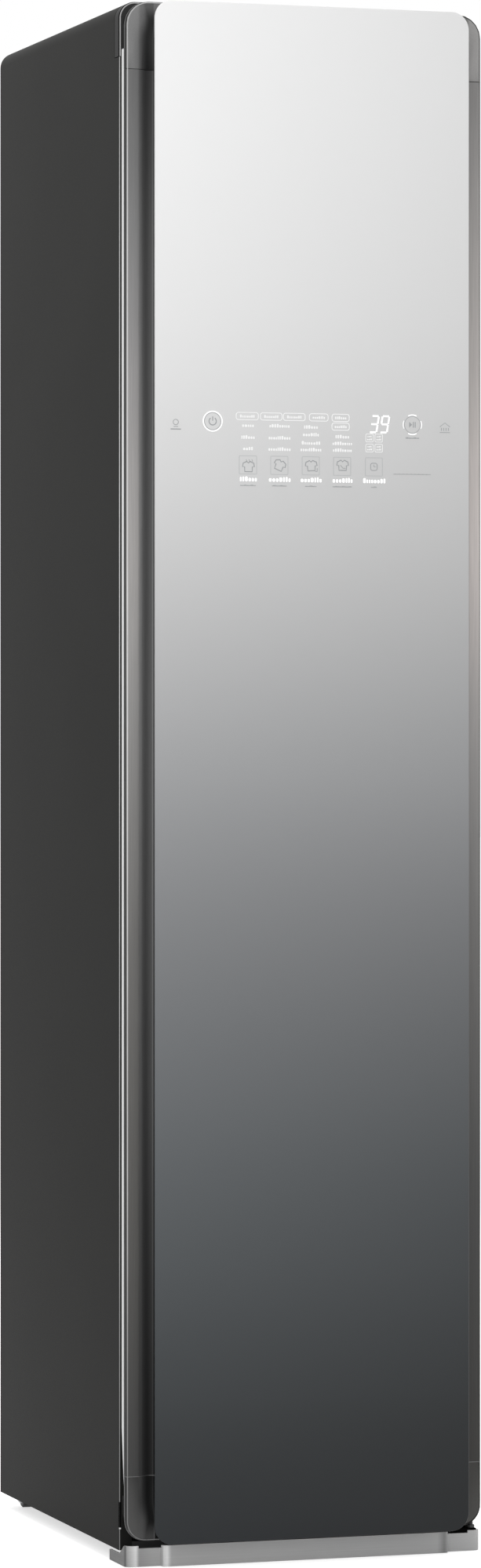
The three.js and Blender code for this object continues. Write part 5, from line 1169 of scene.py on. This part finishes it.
# Two digits of straight segments, leaning a little: which ones are lit, and where each runs
DIGITS = ("abgcd", "abcdfg")
DIGIT_TALL, DIGIT_WIDE, DIGIT_BAR, DIGIT_PITCH = 19.4, 8.6, 2.2, 13.2
DIGIT_X, DIGIT_Z = 70.2, 1341.6
LEAN_SHARE = 0.17
GAP_SHARE = 0.06
SEGMENTS = {
    "a": ((0, 2), (1, 2)), "g": ((0, 1), (1, 1)), "d": ((0, 0), (1, 0)), "f": ((0, 1), (0, 2)),
    "b": ((1, 1), (1, 2)), "c": ((1, 0), (1, 1)),
}


def make_digits():
    strokes = []
    for place, lit in enumerate(DIGITS):
        for letter in lit:
            first, last = [(u * DIGIT_WIDE, v * DIGIT_TALL / 2) for u, v in SEGMENTS[letter]]
            points = []
            for share in (GAP_SHARE, 1 - GAP_SHARE):
                u, v = between(first, last, share)
                points.append((u + LEAN_SHARE * v, v))
            strokes.append(ribbon(points, DIGIT_X + place * DIGIT_PITCH, DIGIT_Z, DIGIT_BAR))
    glyph("display_digits", strokes, "sign_white")


# Power ring on the left and start ring on the right
RING_RADIUS, RING_LINE = 11.6, 1.5
POWER_INNER, PLAY_INNER, INNER_LINE = RING_RADIUS - 1.5, RING_RADIUS - 1.6, 0.6
RING_Z = 1351.4
POWER_X = -125.4
PLAY_X, PLAY_WORD_Z = 124.3, 1335.6
BOW_RADIUS, BOW_START, BOW_END = 4.5, 125, 415
POWER_STROKE = [(0, 0.6), (0, 5.6)]
PLAY_ARROW = [(-4.0, -3.4), (-4.0, 3.4), (-0.4, 0)]
PLAY_BARS = (1.2, 3.6)
PLAY_ARCS = ((90, 27, 1.5), (270, 27, 1.5), (0, 24, 1.1), (180, 24, 1.1))


def make_rings():
    glyph("power_ring", [ring_glyph(POWER_X, RING_Z, RING_RADIUS, RING_LINE)], "sign_white")
    glyph("power_inner", [ring_glyph(POWER_X, RING_Z, POWER_INNER, INNER_LINE)], "sign_grey")
    bow = arc_glyph(POWER_X, RING_Z, BOW_RADIUS, BOW_START, BOW_END, width=1.2)
    glyph("power_mark", [bow, ribbon(POWER_STROKE, POWER_X, RING_Z, width=1.1)], "sign_grey")
    arcs = [
        arc_glyph(PLAY_X, RING_Z, RING_RADIUS, turn - half, turn + half, width)
        for turn, half, width in PLAY_ARCS
    ]
    glyph("start_ring", arcs, "sign_white")
    glyph("start_inner", [ring_glyph(PLAY_X, RING_Z, PLAY_INNER, INNER_LINE)], "sign_grey")
    bars = [bar_glyph(PLAY_X + dx, RING_Z, wide=1.1, tall=7.0) for dx in PLAY_BARS]
    words_below = word_bars(PLAY_X, PLAY_WORD_Z, wide=17, tall=2.0)
    glyph("start_mark", [filled(PLAY_ARROW, PLAY_X, RING_Z), *bars, *words_below], "sign_grey")


BUTTON_X = (-81.7, -42.7, -3.5, 35.8, 75.7)
BUTTON_Z = 1300.5
BUTTON_SIZE = 21.5
SHIRT_SCALE = 1.14
SHIRT_SHIFT = 0.6
SHIRT_TURNS = (0, -0.4, 0.05, 0.0)
SHIRT_LIFTS = (-1.6, 0.6, 0.6, 1.6)
STEAM_RISES = (0, 0.7, 1.4, 2.1, 2.8)
STEAM_STARTS = (-3.0, 0.6, 4.2)
STEAM_SWAY, STEAM_PITCH, STEAM_RISE, STEAM_FOOT = 0.6, 1.6, 0.9, 5.6
STEAM_SHIFT, STEAM_DROP = 1.0, 1.6
TIMER_SIZE = (8.2, 8.6)
TIMER_HANDS = [(0.0, 2.6), (0, 0), (2.2, 0)]
HOOK_MARK = [(5.6, -6.6), (8.0, -6.6), (8.0, -2.6)]
TICK_MARK = [(-2.2, 1.4), (1.0, -2.2), (4.2, -2.2)]


# T-shirt outline about its middle
def shirt_points(turn):
    right = [(1.8, 5.0), (5.8, 3.2), (6.4, -0.4), (4.2, -0.6), (4.0, -5.6)]
    points = right + [(-u, v) for u, v in reversed(right)] + [(0, 3.4)]
    ca, sa = math.cos(turn), math.sin(turn)
    return [(SHIRT_SCALE * (u * ca - v * sa), SHIRT_SCALE * (u * sa + v * ca)) for u, v in points]


# Five square buttons: shirts with steam and small marks, and a timer on the last
def make_buttons():
    frames = [frame_glyph(x, BUTTON_Z, BUTTON_SIZE, BUTTON_SIZE, radius=1.0, width=0.6) for x in BUTTON_X]
    glyph("button_frames", frames, "sign_faint")
    steam_x, _, hook_x, tick_x, timer_x = BUTTON_X
    marks = []
    for x, turn, lift in zip(BUTTON_X, SHIRT_TURNS, SHIRT_LIFTS):
        marks.append(ribbon(shirt_points(turn), x + SHIRT_SHIFT, BUTTON_Z + lift, width=1.3, closed=True))
    marks.append(frame_glyph(timer_x, BUTTON_Z, *TIMER_SIZE, radius=2.4, width=0.9))
    for shape, x in ((TIMER_HANDS, timer_x), (HOOK_MARK, hook_x), (TICK_MARK, tick_x)):
        marks.append(ribbon(shape, x, BUTTON_Z, width=0.8))
    for dx in STEAM_STARTS:
        wave = [
            (dx + STEAM_SWAY * math.sin(v * STEAM_PITCH), STEAM_FOOT + v * STEAM_RISE) for v in STEAM_RISES
        ]
        marks.append(ribbon(wave, steam_x + STEAM_SHIFT, BUTTON_Z - STEAM_DROP, width=0.6))
    glyph("button_marks", marks, "sign_grey")


# Rows of plain marks where the printed words were: each column's X, then each row's Z and width
LABEL_ROWS = {
    -81.7: ((1347.4, 14.5), (1333.4, 16.5), (1320.0, 12.0)),
    -42.5: ((1347.4, 25), (1333.2, 27), (1319.8, 27.5)),
    -3.3: ((1346.6, 17), (1337.7, 20), (1327.7, 23), (1319.9, 26)),
    36.0: ((1335.8, 17), (1327.8, 24.5), (1319.8, 23.5)),
}
LABEL_TALL = 4.4
NAME_WIDTHS, NAME_Z, NAME_TALL, NAME_SHIFT = (21, 27, 26, 25, 28), 1284.0, 5.9, 0.5
NOTE_WIDTHS, NOTE_Z, NOTE_TALL = (19, 18, 14, 24, 7), 1276.4, 1.7
FILTER_LINE_X, FILTER_LINE_Z = 123.8, 1292.3
MARK_WIDTH_SHARES = (1.0, 0.7, 0.85, 0.55, 0.95, 0.75, 0.6, 0.9)
MARK_HEIGHT_SHARES = (1.0, 0.68, 0.7, 0.95, 0.68, 0.72, 0.9, 0.7)
MARK_STEP_SHARE = 0.62
MARK_GAP_SHARE = 0.3


# Small upright marks of uneven width, which stand for a printed word without being one
def word_bars(x, z, wide, tall):
    count = max(3, round(wide / (tall * MARK_STEP_SHARE)))
    shares = [MARK_WIDTH_SHARES[(n * 3 + count) % len(MARK_WIDTH_SHARES)] for n in range(count)]
    scale = wide / (sum(shares) + MARK_GAP_SHARE * (count - 1))
    marks = []
    u = x - wide / 2
    for n, share in enumerate(shares):
        height = tall * MARK_HEIGHT_SHARES[(n * 5 + count) % len(MARK_HEIGHT_SHARES)]
        marks.append(bar_glyph(u + share * scale / 2, z - (tall - height) / 2, share * scale, height))
        u += (share + MARK_GAP_SHARE) * scale
    return marks


# The marks of several words at once, each given by its place and size
def words(rows):
    return [mark for row in rows for mark in word_bars(*row)]


def make_labels():
    labels = [(x, z, wide, LABEL_TALL) for x, rows in LABEL_ROWS.items() for z, wide in rows]
    glyph("label_rows", words(labels), "sign_soft")
    names = [(x + NAME_SHIFT, NAME_Z, wide, NAME_TALL) for x, wide in zip(BUTTON_X, NAME_WIDTHS)]
    glyph("button_names", words(names), "sign_white")
    notes = [(x, NOTE_Z, wide, NOTE_TALL) for x, wide in zip(BUTTON_X, NOTE_WIDTHS)]
    glyph("button_notes", words(notes), "sign_grey")
    glyph("filter_line", word_bars(FILTER_LINE_X, FILTER_LINE_Z, wide=47, tall=1.0), "sign_grey")


# Round framed labels in a row, each by its X and frame width. The low one has its Z, frame and word width
PILL_TALL, PILL_CORNER, PILL_LINE, PILL_WORD_TALL = 8.6, 2.8, 0.9, 3.6
PILL_Z = 1358.1
WORD_SHARE = 0.66
LOW_PILL = (1347.6, 21.8, 15)
PILLS = ((-82.6, 27.4), (-52.8, 26.8), (-24.1, 27.2), (6.5, 23.4), (33.9, 21.6))


def make_pills():
    pills = [(x, PILL_Z, wide, wide * WORD_SHARE) for x, wide in PILLS]
    pills.append((PILLS[-1][0], *LOW_PILL))
    frames = [frame_glyph(x, z, wide, PILL_TALL, PILL_CORNER, PILL_LINE) for x, z, wide, _ in pills]
    glyph("pill_frames", frames, "sign_soft")
    glyph("pill_words", words([(x, z, inner, PILL_WORD_TALL) for x, z, _, inner in pills]), "sign_soft")


# Grid of four small modes, a mark on the far left and a filter house on the far right
GRID_X, GRID_Z, GRID_STEP_X, GRID_STEP_Z, GRID_CELL = 70.2, 1334.8, 11.6, 12.0, 9.4
CELL_WORDS = ((-1.6, 6.0, 2.4), (1.8, 5.0, 2.0))
MARK_X, MARK_RING_Z = -170.9, 1349.6
MARK_BARS = ((1344.4, 5.6, 0.8), (1341.4, 13.0, 1.2))
HOUSE_X, HOUSE_Z, SLATS_Z, HOUSE_FOOT_Z = 165.5, 1349.1, 1346.6, 1342.8
ROOF = [(-6.4, 0.4), (0, 5.2), (6.4, 0.4)]
SLATS = (-4.5, -1.5, 1.5, 4.5)


def make_small_marks():
    cells = []
    for row in range(2):
        for column in range(2):
            x, z = GRID_X + column * GRID_STEP_X, GRID_Z - row * GRID_STEP_Z
            cells.append(frame_glyph(x, z, GRID_CELL, GRID_CELL, radius=1.4, width=0.7))
            cells += words([(x, z + rise, wide, tall) for rise, wide, tall in CELL_WORDS])
    glyph("mode_grid", cells, "sign_soft")
    marks = [ring_glyph(MARK_X, MARK_RING_Z, radius=3.2, width=0.8, steps=16)]
    marks += [bar_glyph(MARK_X, *bar) for bar in MARK_BARS]
    marks.append(ribbon(ROOF, HOUSE_X, HOUSE_Z, width=0.8))
    marks += [bar_glyph(HOUSE_X + dx, SLATS_Z, wide=0.9, tall=3.6) for dx in SLATS]
    marks.append(bar_glyph(HOUSE_X, HOUSE_FOOT_Z, wide=13.0, tall=0.8))
    glyph("side_marks", marks, "sign_grey")


# Press pad: its place, its form and its two sewn channels
PAD_HALF = -low("press_board").x
PAD_FOOT = low("press_board").z
PAD_HEAD = high("press_board").z
PAD_MIDDLE = (PAD_FOOT + PAD_HEAD) / 2
PAD_TALL = (PAD_HEAD - PAD_FOOT) / 2
PAD_PULL = 2.5 * MM
PAD_ROUND = 2.4 * MM
PAD_SWELL = 1.8 * MM
PAD_SLACK = 0.2 * MM
PAD_CORNER = 20 * MM
PAD_CELL = 6 * MM
PAD_CATCH = PAD_CELL * 0.6
PAD_FIXED = 2 * MM
PAD_BACK = 3 * MM
PAD_PRESSURE = 4
CLOTH_FRAMES = 20
CLOTH_QUALITY = 6
SEWN_INSETS = (13 * MM, 68 * MM)
SEWN_CORNER = 22 * MM
SEWN_DEEP = 1.9 * MM
SEWN_HALF = 3.2 * MM
HELD_SHARE = 0.5
BOARD_THICK = 8 * MM
PANEL = low("press_board").y
PAD_FACE = PANEL + BOARD_THICK - PAD_SWELL - PAD_SLACK


# How much the sides pull in between the corners: the factors on X and on Z from the middle
def pad_bows(x, z):
    bow_x = 1 - PAD_PULL / PAD_HALF * (1 - (z / PAD_TALL) ** 2)
    bow_z = 1 - PAD_PULL / PAD_TALL * (1 - (x / PAD_HALF) ** 2)
    return bow_x, bow_z


# Outline of the pad at an inset, in short steps and with its sides pulled in
def pad_ring(inset, corner):
    right = PAD_HALF - inset
    outline = rounded_rectangle(-right, right, PAD_FOOT + inset, PAD_HEAD - inset, corner, 10)
    drawn = []
    for near, far in sides_of(outline):
        spans = max(1, round(math.dist(near, far) / PAD_CELL))
        for n in range(spans):
            x, z = between(near, far, n / spans)
            bow_x, bow_z = pad_bows(x, z - PAD_MIDDLE)
            drawn.append((x * bow_x, PAD_MIDDLE + (z - PAD_MIDDLE) * bow_z))
    return drawn


# Brings a place close to the pad's outline onto it, so that the net of cells keeps a clean side
def set_on_outline(x, z):
    bow_x, bow_z = pad_bows(x, z)
    wide, tall = abs(x / bow_x), abs(z / bow_z)
    dx, dz = wide - PAD_HALF + PAD_CORNER, tall - PAD_TALL + PAD_CORNER
    if dx > 0 and dz > 0:
        reach = math.hypot(dx, dz)
        if reach > PAD_CORNER - PAD_CATCH:
            wide += dx * (PAD_CORNER / reach - 1)
            tall += dz * (PAD_CORNER / reach - 1)
    elif dx > dz and dx > PAD_CORNER - PAD_CATCH:
        wide = PAD_HALF
    elif dz > PAD_CORNER - PAD_CATCH:
        tall = PAD_TALL
    return math.copysign(wide * bow_x, x), math.copysign(tall * bow_z, z)


# How strongly a place belongs to a sewn channel, from 0 to 1
def sewn_share(x, z, width):
    bow_x, bow_z = pad_bows(x, z)
    gaps = []
    for inset in SEWN_INSETS:
        dx = abs(x / bow_x) - PAD_HALF + inset + SEWN_CORNER
        dz = abs(z / bow_z) - PAD_TALL + inset + SEWN_CORNER
        outside = math.hypot(max(dx, 0), max(dz, 0)) + min(max(dx, dz), 0)
        gaps.append(abs(outside - SEWN_CORNER))
    return math.exp(-(min(gaps) / width) ** 2)


# Runs one modifier on a mesh and gives the new mesh
def modified(mesh, kind, **settings):
    source = placed("form", mesh)
    configure(source.modifiers.new("step", kind), **settings)
    result = settled_mesh(source)
    bpy.data.objects.remove(source)
    return result


def settled_mesh(source):
    evaluated = source.evaluated_get(bpy.context.evaluated_depsgraph_get())
    return bpy.data.meshes.new_from_object(evaluated)


# Swells a closed form by air pressure, with some points held and no point moved further than a cap
def inflated(mesh, held, cap):
    sheet = placed("sheet", mesh)
    sheet.vertex_groups.new(name="held").add(held, 1.0, "REPLACE")
    cloth = configure(
        sheet.modifiers.new("cloth", "CLOTH").settings, vertex_group_mass="held", use_pressure=True,
        uniform_pressure_force=PAD_PRESSURE, quality=CLOTH_QUALITY,
    )
    cloth.effector_weights.gravity = 0
    for number in range(1, CLOTH_FRAMES + 1):
        bpy.context.scene.frame_set(number)
    settled = settled_mesh(sheet)
    moves = [after.co - before.co for before, after in zip(mesh.vertices, settled.vertices)]
    for vertex, move in zip(mesh.vertices, moves):
        length = move.length
        if length > 0:
            vertex.co += move * (cap * math.tanh(length / cap) / length)
    bpy.data.meshes.remove(settled)
    bpy.data.objects.remove(sheet)
    bpy.context.scene.frame_set(1)


# The pad before it swells: its outline from the panel up, and rings that round its front edge
def pad_form():
    outline = pad_ring(0, PAD_CORNER)
    rings = [[(x, y, z) for x, z in outline] for y in (PANEL, PAD_FACE - PAD_ROUND)]
    for n in range(1, 4):
        turn = QUARTER * n / 3
        inset = PAD_ROUND * (1 - math.cos(turn))
        y = PAD_FACE - PAD_ROUND * (1 - math.sin(turn))
        scale_x, scale_z = 1 - inset / PAD_HALF, 1 - inset / PAD_TALL
        rings.append([(x * scale_x, y, PAD_MIDDLE + (z - PAD_MIDDLE) * scale_z) for x, z in outline])
    mesh = modified(loft(rings), "REMESH", mode="VOXEL", voxel_size=PAD_CELL)
    for vertex in mesh.vertices:
        x, z = set_on_outline(vertex.co.x, vertex.co.z - PAD_MIDDLE)
        vertex.co.x, vertex.co.z = x, z + PAD_MIDDLE
    return mesh


# Padded press board: a crowned pad sewn through along two rings, on the door's inner panel
def make_press_board():
    mesh = pad_form()
    held = [
        vertex.index for vertex in mesh.vertices
        if vertex.co.y < PANEL + PAD_FIXED
        or sewn_share(vertex.co.x, vertex.co.z - PAD_MIDDLE, PAD_CELL) > HELD_SHARE
    ]
    inflated(mesh, held, PAD_SWELL)
    mesh = modified(mesh, "SUBSURF", levels=1)
    for vertex in mesh.vertices:
        x, y, z = vertex.co
        if y > PANEL + PAD_BACK:
            y -= SEWN_DEEP * sewn_share(x, z - PAD_MIDDLE, SEWN_HALF)
        vertex.co.y = max(y, PANEL)
    pad = piece_of("press_pad", mesh, "door", "press_fabric", ("press_board",))
    make_stitches()
    make_knuckles()


# The place at a distance along a closed ring
def walked_to(ring, distance):
    for near, far in sides_of(ring):
        span = math.dist(near, far)
        if distance <= span:
            return between(near, far, distance / span)
        distance -= span
    return ring[0]


# Thread showing as short stitches along the sewn rings
STITCH_PITCH = 7 * MM
STITCH_LENGTH = 4.4 * MM
STITCH_RADIUS = 0.55 * MM
STITCH_LIFT = 0.9 * MM


def make_stitches():
    y = PAD_FACE - SEWN_DEEP + STITCH_LIFT
    stitches = []
    for inset in SEWN_INSETS:
        seam = pad_ring(inset, SEWN_CORNER)
        around = sum(math.dist(near, far) for near, far in sides_of(seam))
        for n in range(int(around / STITCH_PITCH)):
            first, last = [walked_to(seam, n * STITCH_PITCH + far) for far in (0, STITCH_LENGTH)]
            ux, uz = [(b - a) / STITCH_LENGTH for a, b in zip(first, last)]
            section = circle(STITCH_RADIUS, 6)
            stitches.append(loft([
                [(x - uz * u, y + v, z + ux * u) for u, v in section] for x, z in (first, last)
            ]))
    piece_of("press_stitches", stitches, "door", "press_fabric", finish="thread")


# Hinge barrels of the fixed half of the press, each on its leaf
BARREL_RADIUS = 6 * MM
BARREL_BORE = 3.4 * MM
BARREL_TALL = 60 * MM
BARREL_INSET = 40 * MM
BARREL_GAP = 0.3 * MM
BARREL_EDGE = 0.4 * MM
LEAF_REACH = 22 * MM
LEAF_END = 3 * MM
LEAF_BACK = 0.4 * MM
LEAF_FRONT = 4 * MM


def make_knuckles():
    pin_x = middle("press_hinge_pin")[0]
    pin_y = PANEL + BOARD_THICK + BARREL_GAP
    leaf = corners(pin_x - LEAF_REACH, pin_x - LEAF_END, PANEL + LEAF_BACK, PANEL + LEAF_FRONT)
    meshes = []
    for foot in (PAD_FOOT + BARREL_INSET, PAD_HEAD - BARREL_INSET - BARREL_TALL):
        head = foot + BARREL_TALL
        bore, barrel = [
            [(pin_x + u, pin_y + v) for u, v in circle(radius, 28)] for radius in (BARREL_BORE, BARREL_RADIUS)
        ]
        rings = [
            [(x, y, z) for x, y in ring]
            for ring, z in ((bore, foot), (barrel, foot), (barrel, head), (bore, head))
        ]
        meshes += [loft(rings, True), standing(leaf, foot, head)]
    piece_of("press_knuckles", meshes, "door", "press_fabric", finish="liner_grey", edge=BARREL_EDGE)


# Camera, fitted to the photograph's straight edges
LENS = 125.91
RISE = -0.036
SENSOR = 36.0
CLIP_END = 100.0
CAMERA_PLACE = (-2.0890, -6.4488, 0.9904)
CAMERA_TURN = (math.radians(90), 0, math.radians(-17.981))


def make_camera():
    camera = configure(
        bpy.data.cameras.new("camera"), lens=LENS, sensor_width=SENSOR, sensor_fit="AUTO",
        shift_y=RISE, clip_end=CLIP_END,
    )
    holder = placed("camera", camera)
    bpy.context.scene.camera = configure(holder, location=CAMERA_PLACE, rotation_euler=CAMERA_TURN)


WORLD_LEVEL = 0.5
FLOOR_GLOW = 0.62
FLOOR_REACH = 40.0


def make_world():
    nodes = Nodes(bpy.data.worlds.new("studio"), "Background")
    strength = nodes.spread(nodes.seen_directly(), WORLD_LEVEL, 1.0, 0.0, 1.0)
    bpy.context.scene.world = nodes.shade({"Color": WHITE, "Strength": strength})


# Pale floor that shows white to the camera and keeps the shadow under the cabinet
def make_floor():
    outline = corners(-FLOOR_REACH, FLOOR_REACH, -FLOOR_REACH, FLOOR_REACH)[::-1]
    mesh = mesh_of([(x, y, 0) for x, y in outline], [(0, 1, 2, 3)])
    floor = placed("floor", mesh)
    nodes = start_finish("pale_floor")
    fine = nodes.noise(scale=60.0, detail=2.0)
    mesh.materials.append(nodes.shade({
        "Base Color": nodes.mixed(fine, tone(236), tone(240)),
        "Roughness": 0.95,
        "Specular IOR Level": 0.05,
        "Emission Color": WHITE,
        "Emission Strength": nodes.spread(nodes.seen_directly(), 0.0, FLOOR_GLOW, 0.0, 1.0),
    }))


def area_lamp(name, place, target, width, height, power):
    lamp = bpy.data.lights.new(name, "AREA")
    configure(lamp, shape="RECTANGLE", size=width, size_y=height, energy=power)
    direction = [t - p for t, p in zip(target, place)]
    yaw = math.atan2(direction[1], direction[0]) - QUARTER
    pitch = math.atan2(direction[2], math.hypot(direction[0], direction[1]))
    configure(
        placed(name, lamp), location=place, rotation_euler=(QUARTER + pitch, 0, yaw),
        visible_camera=False, visible_glossy=False,
    )


# Studio lamps: each one's place, size and power. All of them face the middle of the cabinet
LAMPS = {
    "key": ((-2.6, -3.4, 2.6), (1.6, 2.6), 60),
    "fill": ((3.2, -3.0, 1.6), (1.8, 2.6), 31),
    "over": ((0, 0.3, 4.2), (3.0, 3.0), 56),
    "rear": ((1.2, 3.6, 2.2), (2.4, 2.4), 50),
}
LAMP_TARGET = (0, 0, 0.95)
CABIN_LAMP_GAP = 2 * MM
CABIN_LAMP_SIZE = (0.1, 0.04)
CABIN_LAMP_POWER = 2.4
CABIN_AIM_BACK = 0.12
CABIN_AIM_Z = 0.9


def make_lights():
    for name, (place, size, power) in LAMPS.items():
        area_lamp(name, place, LAMP_TARGET, *size, power)
    x, y, _ = middle("lamp_lens")
    place = (x, y, low("lamp_lens").z - CABIN_LAMP_GAP)
    area_lamp("cabin", place, (x, y + CABIN_AIM_BACK, CABIN_AIM_Z), *CABIN_LAMP_SIZE, CABIN_LAMP_POWER)


for make in (
    make_camera, make_world, make_floor, make_lights,
    make_case, make_trim, make_glass, make_stiles, make_caps, make_frame_lines, make_cap_seams,
    make_edge_strips, make_shade_sill, make_catch, make_skirt, make_refined, make_hangers, make_screws,
    make_filter, make_press_board,
    make_digits, make_rings, make_buttons, make_labels, make_pills, make_small_marks,
    dress_rest,
):
    make()
bpy.context.scene.view_settings.view_transform = "Standard"
